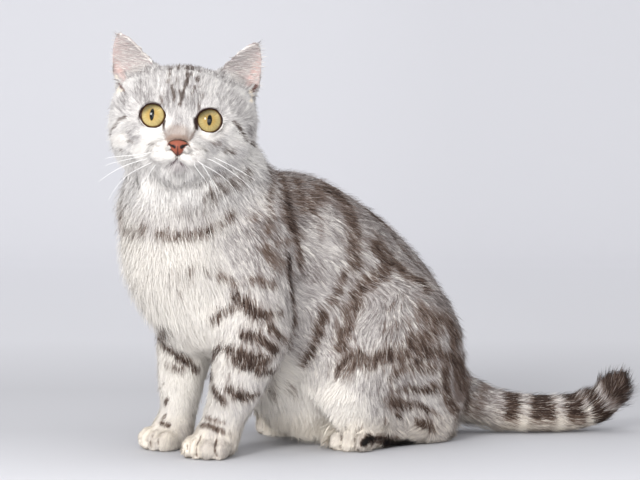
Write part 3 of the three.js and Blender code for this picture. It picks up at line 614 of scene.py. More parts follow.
bodyStrokes = [
    (2, 0.35, [(117.9, 190.6), (121, 202.7), (127, 212.4)]),
    (2.4, 0.6, [(117.3, 221), (123.3, 234.2), (131.8, 237.9), (142.7, 235.5), (147.6, 231)]),
    (2.6, 0.65, [(162.1, 236.7), (170.6, 239), (182.7, 240.3), (194.8, 239), (207, 234.2)]),
    (2.2, 0.5, [(207, 234.2), (219, 225.8), (231.2, 217.3)]),
    (2.4, 0.22, [(177.9, 216), (187.6, 218.5), (202, 214.8), (213, 206.4)]),
    (3.2, 0.5, [(207, 201.5), (213, 195.5), (225, 189.4), (237, 184.5), (245.8, 177.3)]),
    (2, 0.4, [(194.8, 185.8), (207, 182), (219, 177.3), (230, 173)]),
    # Painted shade in the folds of the chest.
    (1.6, 0.3, [(173, 286.4), (182.7, 277.9), (194.8, 271.8), (219, 277.9)]),
    (2.2, 0.55, [(219, 277.9), (231.2, 282.7), (238.5, 286.4)]),
    (1.3, 0.25, [(182.7, 294.8), (192.4, 281.5)]),
    (2.2, 0.55, [(267.6, 172), (272.4, 188), (268.8, 204), (271.2, 221), (267.6, 235.5)]),
    (3.6, 0.8, [(278, 176), (285, 190), (285.8, 200.3)]),
    (3.4, 0.95, [(285.8, 200.3), (287, 218.5), (290.6, 230.6)]),
    (2.8, 0.75, [(290.6, 230.6), (296, 243), (297.8, 254), (297.8, 266)]),
    (2.4, 0.8, [(297.8, 184), (300.6, 198), (300.6, 215.8)]),
    (2, 0.4, [(249.4, 222), (260, 217)]),
    (3, 0.55, [(266.4, 252.4), (271.2, 264.5), (279.7, 267)]),
    (2.4, 0.5, [(276, 247.6), (288, 242), (299, 237.9)]),
    (2.6, 0.6, [(250.6, 282.7), (262.7, 284), (271.2, 286.4)]),
    # Painted shadow in the gap between the upper arm and the flank.
    (1.9, 1, [(287, 262), (286.9, 275), (286.2, 285), (289.6, 299.4), (291, 316)]),
    (2.2, 0.85, [(291, 316), (289.6, 336.5), (284, 347.4)]),
    (2.3, 0.72, [(213.4, 322.4), (222, 315), (233, 311.2)]),
    (2.6, 0.95, [(236.3, 297.8), (244, 307.9), (253, 316.8)]),
    (3.4, 1, [(244, 306), (253, 315), (261, 318.5)]),
    (1.8, 0.8, [(261, 318.5), (270, 316.5), (279.8, 315.7)]),
    (2.4, 0.85, [(267.5, 329), (276, 338), (286.5, 347)]),
    (2.4, 0.85, [(214, 358), (221.8, 349.5), (230, 351), (241, 356.5)]),
    (1.6, 0.8, [(240, 350), (244, 353)]),
    (2.9, 0.97, [(245.2, 338), (257.5, 340.2), (266.4, 347), (274, 352)]),
    (1.8, 0.9, [(274, 352), (281, 355.8)]),
    (3, 0.95, [(238, 361.4), (250.8, 360.3), (262, 362.5)]),
    (1.9, 0.9, [(243, 368), (262, 368)]),
    (2.5, 0.97, [(257, 371.8), (264.2, 373.1), (271, 372)]),
    (2.4, 0.8, [(215.6, 390.4), (219, 397.1), (224.6, 402.7)]),
    (2.7, 0.97, [(230.6, 391.4), (235.2, 396), (243, 398.8), (250.8, 396)]),
    (1.7, 0.9, [(250.8, 396), (256.5, 394.3)]),
    (2, 0.25, [(228.5, 375), (228.5, 381)]),
    (1.3, 0.5, [(205.6, 418.3), (215, 421.7), (224, 423.4)]),
    (1.8, 0.6, [(202, 426), (209.5, 426.7), (221.8, 432.3)]),
    (1.4, 0.35, [(223, 433), (232, 436.5)]),
    (2.4, 0.45, [(277, 397), (277.5, 390)]),
    (2.2, 0.35, [(267.5, 387), (278, 379.3)]),
    (2.2, 0.35, [(295.4, 386), (296, 394)]),
    (2.2, 0.9, [(157, 347), (166, 348.5), (175, 353)]),
    (2.4, 0.85, [(175, 353), (185, 362), (195, 371), (202, 377)]),
    (1.6, 0.75, [(168, 401), (165, 405)]),
    (1.3, 0.6, [(165, 417), (163, 419)]),
    (1.5, 0.75, [(161, 424), (168, 427)]),
    (1.8, 0.6, [(317, 197.9), (317.7, 208.9)]),
    (2, 0.3, [(319.8, 224), (319.8, 239)]),
    (4.6, 0.78, [(325.3, 181), (334.9, 196.6), (344.5, 207.5), (350, 219.9)]),
    (4.4, 0.72, [(350, 219.9), (353.4, 236.3), (354, 254.2), (353, 265)]),
    (2.6, 0.6, [(353, 265), (344.5, 274.7), (340.4, 288.5), (333.5, 302.2), (329.4, 307.7)]),
    (2.9, 0.8, [(322.5, 314), (319.8, 329.6), (315.7, 346), (307.4, 363.9)]),
    (3.8, 0.88, [(367.8, 215.8), (381.5, 226.7)]),
    (1.7, 0.85, [(391.5, 240.3), (400.7, 253.3), (410.6, 264)]),
    (1.1, 0.8, [(410.6, 264), (423.6, 277.8), (433.6, 287.8)]),
    (4.5, 0.8, [(375, 250), (383, 259), (389.7, 265)]),
    (2.2, 0.97, [(382, 266.5), (391, 267.5)]),
    (3.8, 0.8, [(388, 269.5), (376, 279), (362.3, 288)]),
    (3.4, 0.78, [(362.3, 288), (356.8, 299.4), (348.6, 314.5), (345.8, 329.6), (343, 348.8)]),
    (3.2, 0.88, [(397.6, 267.9), (403, 277), (414.5, 283.2), (422.9, 287)]),
    (2.4, 0.9, [(422.9, 287), (425.2, 295.4)]),
    (0.9, 0.5, [(409, 293.1), (395.3, 300.8), (386, 313)]),
    (0.8, 0.4, [(402, 303), (393, 313), (389, 322)]),
    (2.8, 0.35, [(386, 331), (400, 326), (416, 324)]),
    (3.5, 0.72, [(420.6, 314.6), (427.5, 320.7), (438.2, 324.5)]),
    (1.6, 0.72, [(422.9, 334.5), (441.3, 333.7)]),
    (4.2, 0.62, [(411, 343), (422, 339), (430, 336)]),
    (3, 0.88, [(446.6, 327.6), (450, 335), (453.5, 342)]),
    (2.2, 0.7, [(442.8, 315), (444, 319)]),
    (2.6, 0.75, [(447.7, 340), (448.5, 352.2), (452, 363.4)]),
    (3.4, 0.8, [(458.6, 343.6), (460, 355), (458.6, 366)]),
    (4, 0.75, [
        (341.7, 373.8), (349.5, 365), (357.2, 360.8), (365, 365),
        (374.5, 362.6), (384.8, 359), (403.7, 356.5),
    ]),
    (2.6, 0.9, [(414, 364.3), (426, 357.4), (435.6, 352.7)]),
    (2, 0.75, [(442.5, 363.4), (448.5, 361.7)]),
    (2.9, 0.7, [(389.1, 379.8), (400.3, 371.2), (417.5, 369.5), (433, 370.3)]),
    (2, 0.9, [(396, 391.9), (408.9, 390.1), (424.4, 391), (441.6, 391.9)]),
    (1.8, 0.7, [(431.3, 385.8), (436, 387)]),
    (3, 0.85, [(442.4, 373), (443.4, 390.1), (446.8, 400.5), (454.6, 414.2), (461, 422)]),
    (5, 0.75, [(455, 376), (462, 392), (465, 408)]),
    (1.6, 0.85, [(402, 405.6), (407.2, 402.2)]),
    (2, 0.95, [(413.2, 403.9), (420.1, 408.2), (427, 411.7)]),
    (1.6, 0.75, [(393.4, 414.2), (399.4, 417.7)]),
    (3.8, 0.4, [(388.2, 400), (392, 410)]),
    (2.8, 0.85, [(416.7, 422.9), (426.1, 426.3), (431.3, 432)]),
    (1.5, 0.45, [(433, 412.5), (438.2, 417.7)]),
    (2.6, 0.4, [(383, 421.1), (385, 425)]),
    # Under the hind foot: its dark sole, with painted shadow where it rests on the floor.
    (2.6, 1, [(385, 443.5), (396, 443), (408, 443), (430, 442)]),
    (2.4, 1, [(381, 447.5), (390, 447), (404, 445.5)]),
]
# Lines between the toes: the coat darkens along them as painted shade in the slits, and pressToes sinks
# furrows there.
toeSlits = [
    (0.55, 0.95, [(200.7, 437), (197, 444), (196.3, 450), (196.6, 456)]),
    (0.55, 0.95, [(217.5, 441), (215, 446), (215, 451), (216.6, 456)]),
    (0.45, 0.8, [(187.6, 445), (187.2, 449)]),
    (0.5, 0.85, [(153, 436), (150.4, 442), (151.5, 447), (154.5, 451)]),
    (0.45, 0.75, [(138.5, 440), (138.3, 444)]),
    (0.45, 0.75, [(158.6, 440), (158.5, 444.5)]),
    (0.6, 1.25, [(361, 426), (356, 433), (354, 441), (355.5, 449)]),
    (0.6, 1.25, [(347, 426), (342, 432), (341, 448)]),
]
backStrokes = [
    (2.6, 0.6, [(6, 3, 47), (-14, 4, 46), (-32, 6, 38), (-46, 8, 24), (-54, 9, 4)]),
    (2.4, 0.55, [(2, 14, 44), (-16, 17, 42), (-34, 20, 32), (-47, 21, 14)]),
    (2.2, 0.45, [(-6, 26, 38), (-22, 31, 31), (-36, 33, 16)]),
]
markIs = {
    "face": (1.3, 0.9),  # what the half widths and strengths above are multiplied by
    "toes": (1.6, 0.6),
    "thin": 1.3,
    "thick": 1.7,
    "thickFrom": 3,
    "step": 6,  # pixels between the places of a line on the skin
    "seenDepth": 0.012,  # how far behind the seen surface a place still counts as seen
    "edge": (0.6, 1.4),  # where a mark starts to fade and ends, in half widths
    "halo": {"from": 2.4, "edge": (1, 2.2), "strength": 0.25},
    "wobble": ((0.012, 0.0012, 1), (0.004, 0.0008, 4)),  # grain, size and seed
    "steady": {"head": 66, "low": 0.03, "share": 0.35},  # where the wobble is less
    "furrow": {"depth": 2.4, "edge": (0.2, 3.2)},
}


def lineOnSkin(pixels):
    places = []
    for (ax, ay), (bx, by) in zip(pixels, pixels[1:]):
        steps = max(1, int(math.hypot(bx - ax, by - ay) / markIs["step"]))
        for k in range(steps):
            places.append(onSurface(skinTree, ax + (bx - ax) * k / steps, ay + (by - ay) * k / steps))
    return np.array(places + [onSurface(skinTree, *pixels[-1])])


# Whether the skin near a place shows to the camera.
def isSeen(place):
    start = camera.location
    way = Vector(place) - start
    hit = skinTree.ray_cast(start, way.normalized())[0]
    return hit is not None and (hit - start).length > way.length - markIs["seenDepth"]


def layStrokes():
    laid = []
    for table, (wider, stronger) in ((faceStrokes, markIs["face"]), (toeSlits, markIs["toes"])):
        laid += [(half * wider, strength * stronger, lineOnSkin(pixels)) for half, strength, pixels in table]
    for half, strength, pixels in bodyStrokes:
        half *= markIs["thin"] if half < markIs["thickFrom"] else markIs["thick"]
        line = lineOnSkin(pixels)
        laid.append((half, strength, line))
        other = mirrored(line)
        if not isSeen(other.mean(0)):
            laid.append((half, strength, other))
    for half, strength, places in backStrokes:
        for side in (1, -1):
            laid.append((half, strength, fromHead(np.array(places) * (1, side, 1))))
    return laid


# The least distance in millimetres from each point to a line of points.
def awayFrom(points, line):
    least = np.full(len(points), np.inf)
    for a, b in zip(line, line[1:]):
        along = b - a
        share = np.clip((points - a) @ along / max(along @ along, 1e-12), 0, 1)
        least = np.minimum(least, np.linalg.norm(points - a - share[:, None] * along, axis=1))
    return least / mm


# The points that may be within a reach of a line, in millimetres, and how far from it they are.
def nearLine(points, line, reach):
    middle = line.mean(0)
    most = np.linalg.norm(line - middle, axis=1).max() + reach * mm
    near = np.nonzero(((points - middle) ** 2).sum(1) < most**2)[0]
    return near, awayFrom(points[near], line)


# A colour from 0 to 255, as the shader counts it.
def linear(r, g, b):
    c = np.array((r, g, b)) / 255
    return np.where(c <= 0.04045, c / 12.92, ((c + 0.055) / 1.055) ** 2.4)


# Furrows between the toes.
def pressToes():
    places = vertexPlaces(skin.data)
    ways = vertexNormals(skin.data)
    furrow = markIs["furrow"]
    for half, strength, pixels in toeSlits:
        gap = awayFrom(places, lineOnSkin(pixels))
        places -= ways * (furrow["depth"] * mm * strength * (1 - blendIn(gap, *furrow["edge"])))[:, None]
    moveVertices(skin.data, places)


pressToes()
skinTree = surfaceTree(skin)
strokes = layStrokes()
print("strokes", len(strokes))

tints = {
    "white": (243, 238, 231),
    "lid": (40, 24, 20),
    "tear": (84, 66, 58),
    "bridge": (146, 124, 110),
    # The lips' own colour, also used for painted shade in the mouth's creases.
    "lipAndCreaseShade": (104, 86, 92),
    # The hind foot's dark sole, with painted shadow where it meets the floor.
    "soleAndShadow": (20, 15, 13),
    # The colour of painted shadow in the fold of each ear's pocket.
    "pocketShadow": (84, 42, 34),
    # The colour of painted shadow in gaps.
    "gap": (40, 28, 24),
    "cream": (240, 228, 210),
    "blush": (206, 172, 164),
}
tintStrokes = [
    ("bridge", 6, 0.55, [(173, 131), (183, 132)]),
    ("bridge", 3.4, 0.85, [(169, 138.5), (186, 139.5)]),
    ("tear", 1, 0.5, [(168, 139.8), (177, 138.6), (187, 140.4)]),
    ("bridge", 1.8, 0.5, [(165.3, 133), (168, 140.5)]),
    ("bridge", 1.8, 0.55, [(193.5, 133), (189.5, 141)]),
    ("white", 2.6, 0.4, [(142, 130), (149, 132), (157, 130)]),
    ("white", 3.6, 0.5, [(204, 136), (214, 137), (226, 129)]),
    ("white", 4.5, 0.5, [(124, 139), (116, 142)]),
    ("tear", 1, 0.8, [(162.2, 119), (163.2, 124), (163.8, 129)]),
    ("tear", 0.8, 0.5, [(197.5, 127), (196, 130), (194.4, 132.5)]),
    ("tear", 1.6, 0.35, [(163.6, 131), (165, 138)]),
    ("tear", 1.6, 0.35, [(193.5, 134), (191, 139)]),
    ("lid", 1.7, 1, [(195.6, 118.5), (195.4, 123), (197, 128)]),
    ("lid", 1.1, 0.9, [(164.2, 117), (164.8, 121), (163.6, 125)]),
    ("lipAndCreaseShade", 3.6, 0.4, [(171, 168), (184, 169)]),
    # The groove under the nose and the line of the mouth: the lips' dark colour, with painted shade in their
    # creases.
    ("lipAndCreaseShade", 1, 0.95, [(176.5, 154), (176.6, 161)]),
    ("lipAndCreaseShade", 1.1, 0.7, [(176.4, 161), (172, 163.2), (169, 164.8)]),
    ("lipAndCreaseShade", 1.2, 0.4, [(169, 164.8), (164.5, 167.6)]),
    ("lipAndCreaseShade", 1.1, 0.65, [(176.8, 161), (180, 163.2), (182.6, 165.2)]),
    ("lipAndCreaseShade", 1.2, 0.4, [(182.6, 165.2), (187.5, 167.6)]),
    ("blush", 2.6, 0.5, [(125, 82), (122, 76), (118, 66)]),
    ("blush", 2.6, 0.5, [(248, 84), (252, 76), (256, 64)]),
    # Painted shadow in the fold of each ear's pocket, with its cream rim.
    ("pocketShadow", 1.5, 0.95, [(114.5, 78.5), (116, 82.5), (114.8, 86)]),
    ("pocketShadow", 1.2, 0.8, [(119.3, 84.7), (122, 88), (125, 91)]),
    ("cream", 1.1, 0.95, [(116.4, 76.5), (115.8, 86), (118.2, 92.5), (123, 90.8)]),
    ("pocketShadow", 1.6, 0.95, [(256, 86), (253.5, 91), (254, 97)]),
    ("cream", 1.3, 0.95, [(250.5, 90.5), (251, 96), (250, 102)]),
    # Painted shadow in the gap between the upper arm and the flank.
    ("gap", 1.5, 0.85, [(287.5, 257), (287, 275), (288.5, 292)]),
    # Under the hind foot: its dark sole, and painted shadow where it rests on the floor.
    ("soleAndShadow", 3, 1, [(383, 443.5), (392, 443)]),
    ("soleAndShadow", 3.4, 1, [(391, 443), (404, 442)]),
    ("soleAndShadow", 3, 1, [(380, 448), (390, 447.5), (406, 445.5)]),
    ("soleAndShadow", 2.4, 0.95, [(404, 442.5), (419, 442)]),
    ("soleAndShadow", 1.7, 0.9, [(419, 442), (431, 441.5)]),
    ("white", 0.7, 1, [(113.6, 36.8), (120.5, 35.4), (128, 38.2), (135.4, 45), (146, 56.4), (158, 67)]),
    ("white", 0.7, 1, [(214, 72.5), (220.5, 67.4), (229, 60), (237.6, 53.2), (246.2, 47.6), (254.6, 44.8)]),
]
tintLines = [
    (linear(*tints[name]), half, strength, lineOnSkin(pixels)) for name, half, strength, pixels in tintStrokes
]
pawIs = {"warm": np.array((1.0, 0.97, 0.92)), "heights": (12, 32)}  # paws are a little warmer than the rest


def tinted(points, colours):
    low = 1 - blendIn(points[:, 2] / mm, *pawIs["heights"])
    colours *= 1 + (pawIs["warm"] - 1) * low[:, None]
    for colour, half, strength, line in tintLines:
        near, gap = nearLine(points, line, half * 2)
        colours[near] = mix(colours[near], colour, strength * (1 - blendIn(gap, half * 0.5, half * 1.5)))
    return colours


tailIs = {
    "line": [
        (-222, -6, 44), (-250, 12, 31), (-278, 39, 19.5), (-304, 56, 16.5),
        (-328, 66, 16.5), (-347, 74, 20), (-359, 82, 27), (-364, 88, 35),
    ],
    "starts": -236.0,
    "rings": [  # place along the tail, half width and strength
        (62, 4.5, 0.45), (88, 6.5, 1.15), (113, 10, 1.25),
        (141, 9, 1.25), (163, 8, 1.25), (194, 16, 1.2),
    ],
    "edge": (0.65, 1.25),
    "under": {"heights": (6, 20), "upTo": 150, "share": 0.25},  # rings are faint below, but for the end
}


# Where each point lies along the tail, in millimetres from its root.
def alongTail(points):
    line = np.array(tailIs["line"], float)
    best = np.full(len(points), np.inf)
    reach = np.zeros(len(points))
    before = 0.0
    for a, b in zip(line, line[1:]):
        along = b - a
        size = np.linalg.norm(along)
        share = np.clip((points - a) @ along / size**2, 0, 1)
        gap = np.linalg.norm(points - a - share[:, None] * along, axis=1)
        closer = gap < best
        best[closer] = gap[closer]
        reach[closer] = before + (share * size)[closer]
        before += size
    end = np.linalg.norm(points - line[-1], axis=1)
    return reach + np.where(reach >= before - 1e-6, end, 0)


def ringsAt(body):
    along = alongTail(body)
    ring = np.zeros(len(along))
    inner, outer = tailIs["edge"]
    for centre, half, strength in tailIs["rings"]:
        ring = np.maximum(ring, strength * (1 - blendIn(np.abs(along - centre), half * inner, half * outer)))
    under = tailIs["under"]
    top = blendIn(body[:, 2], *under["heights"])
    return ring * np.where(along < under["upTo"], under["share"] + (1 - under["share"]) * top, 1)


# How dark the markings and the strokes of painted shade are at each point, from 0 to 1.
def markAndShadeAt(points):
    wobble = sum(
        np.stack([softNoise(points, grain, seed + k) for k in range(3)], 1) * size
        for grain, size, seed in markIs["wobble"]
    )
    steady, halo = markIs["steady"], markIs["halo"]
    isSteady = (fromHeadMiddle(points) < steady["head"]) | (points[:, 2] < steady["low"])
    where = points + wobble * np.where(isSteady, steady["share"], 1)[:, None]
    dark = np.zeros(len(points))
    for half, strength, line in strokes:
        near, gap = nearLine(where, line, half * 2.4 + 1)
        fades = [(strength, markIs["edge"])]
        if half > halo["from"]:
            fades.append((halo["strength"] * strength, halo["edge"]))
        for most, (inner, outer) in fades:
            dark[near] = np.maximum(dark[near], most * (1 - blendIn(gap, half * inner, half * outer)))
    body = toBody(where)
    tail = body[:, 0] < tailIs["starts"]
    dark[tail] = np.maximum(dark[tail], ringsAt(body[tail]))
    return dark


tones = {
    "white": linear(243, 238, 230),
    "silver": linear(192, 186, 184),
    "taupe": linear(113, 101, 96),
    "brown": linear(120, 100, 88),
    "mark": linear(52, 38, 32),
}


def ramp(share, low, high):
    return mix(low, high, np.clip(share, 0, 1))


# The ground colour for a tone, under marks and painted shade of the given darkness.
def toneColour(tone, dark):
    ground = ramp(tone, tones["white"], tones["silver"])
    ground = ramp(tone - 1, ground, tones["taupe"])
    ground = ramp(dark / 0.6, ground, tones["brown"])
    return ramp((dark - 0.5) / 0.5, ground, tones["mark"])


# Noise drawn out along the hairs, with a spread of about 1.
def streaks(points, lie, grain, seed):
    total = sum(softNoise(points + lie * (grain * k), grain, seed) for k in np.arange(-3.5, 4))
    return (total - total.mean()) / total.std()


def giveColours(mesh, name, colours):
    layer = mesh.color_attributes.new(name, "FLOAT_COLOR", "POINT")
    full = np.ones((len(colours), 4), np.float32)
    full[:, :3] = colours
    layer.data.foreach_set("color", full.ravel())


# A material with the given values of its shader. Its base colour is a colour attribute, where one is named.
def newMaterial(name, attribute=None, **values):
    material = bpy.data.materials.new(name)
    material.use_nodes = True
    nodes = material.node_tree.nodes
    shader = nodes["Principled BSDF"]
    for socket, value in values.items():
        shader.inputs[socket.replace("_", " ")].default_value = value
    if attribute:
        colour = nodes.new("ShaderNodeAttribute")
        colour.attribute_name = attribute
        material.node_tree.links.new(colour.outputs["Color"], shader.inputs["Base Color"])
    return material


# A grain on a material's surface, from one output of a texture.
def addGrain(material, kind, output, scale, strength, distance):
    nodes, links = material.node_tree.nodes, material.node_tree.links
    place = nodes.new("ShaderNodeTexCoord")
    grain = nodes.new(kind)
    grain.inputs["Scale"].default_value = scale
    bump = nodes.new("ShaderNodeBump")
    bump.inputs["Strength"].default_value = strength
    bump.inputs["Distance"].default_value = distance
    links.new(place.outputs["Object"], grain.inputs["Vector"])
    links.new(grain.outputs[output], bump.inputs["Height"])
    links.new(bump.outputs["Normal"], nodes["Principled BSDF"].inputs["Normal"])


furLook = newMaterial("coatFur", "coatColour", Roughness=0.75, Specular_IOR_Level=0.25)
skinLook = newMaterial("coatSkin", "coatColour", Roughness=0.8, Specular_IOR_Level=0.2)
addGrain(skinLook, "ShaderNodeTexNoise", "Fac", 900, 0.35, 0.0006)
skinPlaces = vertexPlaces(skin.data)
skinWays = vertexNormals(skin.data)

# The bare insides of the ears.
earIs = {
    "heights": (30, 36),  # over which the fur gives way
    "facing": (0.1, 0.45),
    "side": 12,  # least distance from the middle of the head
    "ahead": 12,
    "inner": (166, 155, 153),
    "outer": (184, 164, 160),
    "between": (34, 62),
}

# The rims of the eyes: an oval before each eye's middle, wider and darker above.
lidIs = {
    "forward": 8,
    "apart": 1.2,
    "size": (9, 9.9, 8.9),
    "edge": (0.92, 1.02),
    "wider": 0.22,
    "low": (104, 76, 62),
    "high": (46, 28, 24),
}


# How much each place is bare pink skin inside an ear, from its head measures and its normal there.
def earBare(inHead, normalInHead):
    off = np.abs(inHead[:, 1])
    high = blendIn(inHead[:, 2] - 0.35 * (50 - off), *earIs["heights"])
    faces = blendIn(normalInHead[:, 0] - 0.3 * normalInHead[:, 2], *earIs["facing"])
    return high * faces * (off > earIs["side"]) * (inHead[:, 0] < earIs["ahead"])


# How far each place is from an eye's edge, 1 at the edge, and how high and far to the cat's right it lies.
def eyeGap(inHead):
    side = np.where(inHead[:, 1] > 0, 1, -1)[:, None]
    middle = np.array((eyesForward + lidIs["forward"], 0, eyesUp)) + side * (0, eyesApart + lidIs["apart"], 0)
    off = inHead - middle
    return np.linalg.norm(off / lidIs["size"], axis=1), off[:, 2] - 0.6 * off[:, 1]


def paintSkin():
    tone = coatAt(skinPlaces)[3]
    # Painted shade: the skin is a little darker than the hairs over it.
    colours = toneColour(tone, markAndShadeAt(skinPlaces)) * skinIs["shade"]
    inHead = toHead(skinPlaces)
    bare = earBare(inHead, skinWays @ headMatrix)
    outer = blendIn(np.abs(inHead[:, 1]) - 0.25 * (inHead[:, 2] - 50), *earIs["between"])
    colours = mix(colours, mix(linear(*earIs["inner"]), linear(*earIs["outer"]), outer), bare)
    gap, upper = eyeGap(inHead)
    rim = 1 - blendIn(gap - lidIs["wider"] * blendIn(upper, -1, 8), *lidIs["edge"])
    lids = mix(linear(*lidIs["low"]), linear(*lidIs["high"]), blendIn(upper, -3, 6))
    giveColours(skin.data, "coatColour", tinted(skinPlaces, mix(colours, lids, rim)))
    skin.data.materials.clear()
    skin.data.materials.append(skinLook)
    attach(skin, "root")
    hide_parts(*fleshNodes)


paintSkin()
print("skin painted")

furIs = {
    "bodyDensity": 1.75,  # hairs for each square millimetre
    "headDensity": 3.4,
    "bodyWidth": 0.62,
    "headWidth": 0.38,
    "short": (1.2, 4.2),  # depths of coat over which the head's fine hairs give way to the body's
    "sway": {"grain": 0.012, "wide": 0.22, "each": 0.13},
    "length": (0.75, 1.12),  # least and most, as shares of what the guides say
    "width": (0.8, 1.15),
    "rise": {"mean": 0.88, "spread": 0.06, "limits": (0.5, 1.15)},
    "stray": {"share": 0.09, "longer": 1.3, "higher": 1.75, "thinner": 0.6},
    "moreStray": [(0.12, 11.5, 14), (0.15, 15, 20)],  # share added, and the lengths over which it sets in
    "ear": {"density": 0.9, "length": 7.5, "rise": 1.6, "width": 0.36, "tone": 0.75, "sparse": (42, 56)},
    "tufts": {"hairs": 11, "spread": 2.0, "length": 7.5, "width": 0.24, "tone": 1.6, "splay": 0.22},
    "tuftPixels": [(118, 35.5, -0.75, -0.65), (256.5, 45.5, 0.75, -0.65)],
    "headCool": 0.35,  # how grey the marks are on the head
    "lock": 0.002,
    "tick": 0.0009,
    "eyeRoom": {"root": 1.04, "end": 1.02, "above": 0.13},  # hairs stay out of the eye, more so above it
    "seen": (0.55, 0.95),  # where along a hair its colour is looked up
}

# One hair: powers of the curves of its rise and width, and how much its side and its normal turn.
bladeIs = {
    "joints": 2,
    "sunk": 0.0004,  # how far a root lies under the skin
    "lift": 1.7,
    "taper": 2.2,
    "roll": 0.4,
    "shine": 0.2,
    "patch": 0.003,  # width of its patch on the map
    "lowest": 0.0003,
}

# How much tones differ among the hairs.
speckIs = {
    "each": 0.38,
    "tick": 0.34,  # in fine streaks
    "lock": 0.14,  # in broad ones
    "darker": {"share": 0.12, "by": 0.5},
    "stray": 0.5,
    "cloud": {"grain": 0.012, "by": 0.2},
    "white": 0.05,  # of white hairs too
    "tip": 0.2,
    "base": 0.7,
    "markGaps": {"share": 0.14, "left": 0.45},  # pale hairs in the marks
    "mark": 0.1,
    "bright": (0.93, 1.05),
}


# Random places on the skin, with as many to each triangle as its density asks.
def scatter(corners, density):
    a, b, c = (skinPlaces[corners[:, k]] for k in range(3))
    area = np.linalg.norm(np.cross(b - a, c - a), axis=1) / 2 / mm**2
    share = np.cumsum(area * density)
    count = int(share[-1])
    spots = (np.arange(count) + draws.random(count)) * share[-1] / count
    face = np.searchsorted(share, spots).clip(0, len(corners) - 1)
    u, v = draws.random((2, count))
    over = u + v > 1
    u[over], v[over] = 1 - u[over], 1 - v[over]
    picked = corners[face]
    parts = list(enumerate((1 - u - v, u, v)))
    roots = sum(k[:, None] * skinPlaces[picked[:, i]] for i, k in parts)
    ways = unit(sum(k[:, None] * skinWays[picked[:, i]] for i, k in parts))
    return roots, ways


def faceFacts():
    corners = triangleCorners(skin.data)
    centre = skinPlaces[corners].mean(1)
    ways = unit(skinWays[corners].mean(1))
    return corners, centre, earBare(toHead(centre), ways @ headMatrix)


# How much a coat of each depth has the fine hairs of the head.
def fineness(depth):
    return 1 - blendIn(depth / mm, *furIs["short"])


def scatterRoots():
    corners, centre, bare = faceFacts()
    fine = fineness(coatAt(centre)[2])
    density = furIs["bodyDensity"] + (furIs["headDensity"] - furIs["bodyDensity"]) * fine
    return scatter(corners, density * (1 - bare) * (centre[:, 2] > 0.0006))


# Six views of the piece, one for each main direction that the skin faces, laid out in three columns.
def skinMap(roots, ways):
    edge = 0.03  # free margin round each view
    low, high = roots.min(0), roots.max(0)
    place = edge + (1 - 2 * edge) * (roots - low) / np.maximum(high - low, 1e-6)
    axis = np.abs(ways).argmax(1)
    row = np.arange(len(roots))
    front = ways[row, axis] > 0
    across = place[row, (axis + 1) % 3]
    up = place[row, (axis + 2) % 3]
    return np.stack([(axis + across) / 3, (front + up) / 2], 1)


# One mesh of flat tapered hairs. Each lies along its direction and lifts from its root to the coat's depth.
def bladeMesh(name, roots, ways, lie, length, rise, width, base, tips):
    joints = bladeIs["joints"]
    count = len(roots)
    side = unit(np.cross(ways, lie))
    roll = draws.normal(0, bladeIs["roll"], count)[:, None]
    side = unit(side * np.cos(roll) + ways * np.sin(roll))
    along = np.sqrt(np.maximum(length**2 - rise**2, (0.5 * length) ** 2))
    stations = np.linspace(0, 1, joints + 1)
    places = []
    for t in stations:
        lifted = rise * (1 - (1 - t) ** bladeIs["lift"]) - bladeIs["sunk"]
        middle = roots + lie * (along * t)[:, None] + ways * lifted[:, None]
        half = (width * 0.5 * (1 - t ** bladeIs["taper"]))[:, None]
        places += [middle - side * half, middle + side * half] if t < 1 else [middle]
    each = len(places)
    points = np.stack(places, 1).reshape(-1, 3)
    points[:, 2] = np.maximum(points[:, 2], bladeIs["lowest"])
    quads = [(2 * k + 1, 2 * k, 2 * k + 2, 2 * k + 3) for k in range(joints - 1)]
    pattern = np.array([v for quad in quads for v in quad] + [each - 2, each - 3, each - 1])
    corners = (np.arange(count)[:, None] * each + pattern).ravel().astype(np.int32)
    sizes = np.tile([4] * (joints - 1) + [3], count)
    mesh = bpy.data.meshes.new(name)
    mesh.vertices.add(len(points))
    mesh.vertices.foreach_set("co", points.astype(np.float32).ravel())
    mesh.loops.add(len(corners))
    mesh.loops.foreach_set("vertex_index", corners)
    mesh.polygons.add(len(sizes))
    mesh.polygons.foreach_set("loop_start", np.concatenate(([0], np.cumsum(sizes)[:-1])).astype(np.int32))
    mesh.update(calc_edges=True)
    shares = np.array([t for t in stations[:-1] for _ in range(2)] + [1.0])
    inside = shares[None, :, None]
    shade = base[:, None, :] * (1 - inside) + tips[:, None, :] * inside
    giveColours(mesh, "coatColour", shade.reshape(-1, 3))
    offset = np.array([((k % 2) - 0.5 if k < each - 1 else 0, t) for k, t in enumerate(shares)])
    patch = skinMap(roots, ways)[:, None, :] + offset[None] * bladeIs["patch"]
    layer = mesh.uv_layers.new(name="OFBake")
    layer.data.foreach_set("uv", patch.reshape(-1, 2)[corners].astype(np.float32).ravel())
    shown = unit(ways + side * draws.normal(0, bladeIs["shine"], count)[:, None])
    piece = showMesh(name, mesh)
    mesh.normals_split_custom_set_from_vertices(np.repeat(shown, each, 0).astype(np.float32))
    mesh.materials.append(furLook)
    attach(piece, "root")
    print(name, count * (2 * joints - 1))


# Where the coat is cut into pieces, in millimetres. The head is two forms, each a middle and half sizes.
cutIs = {
    "skull": ((2, 0, 3), (62, 68, 53)),
    "jaw": ((34, 0, -25), (34, 40, 27)),
    "crown": 40,
    "face": 14,
    "hip": 92,
    "waist": -62,
}


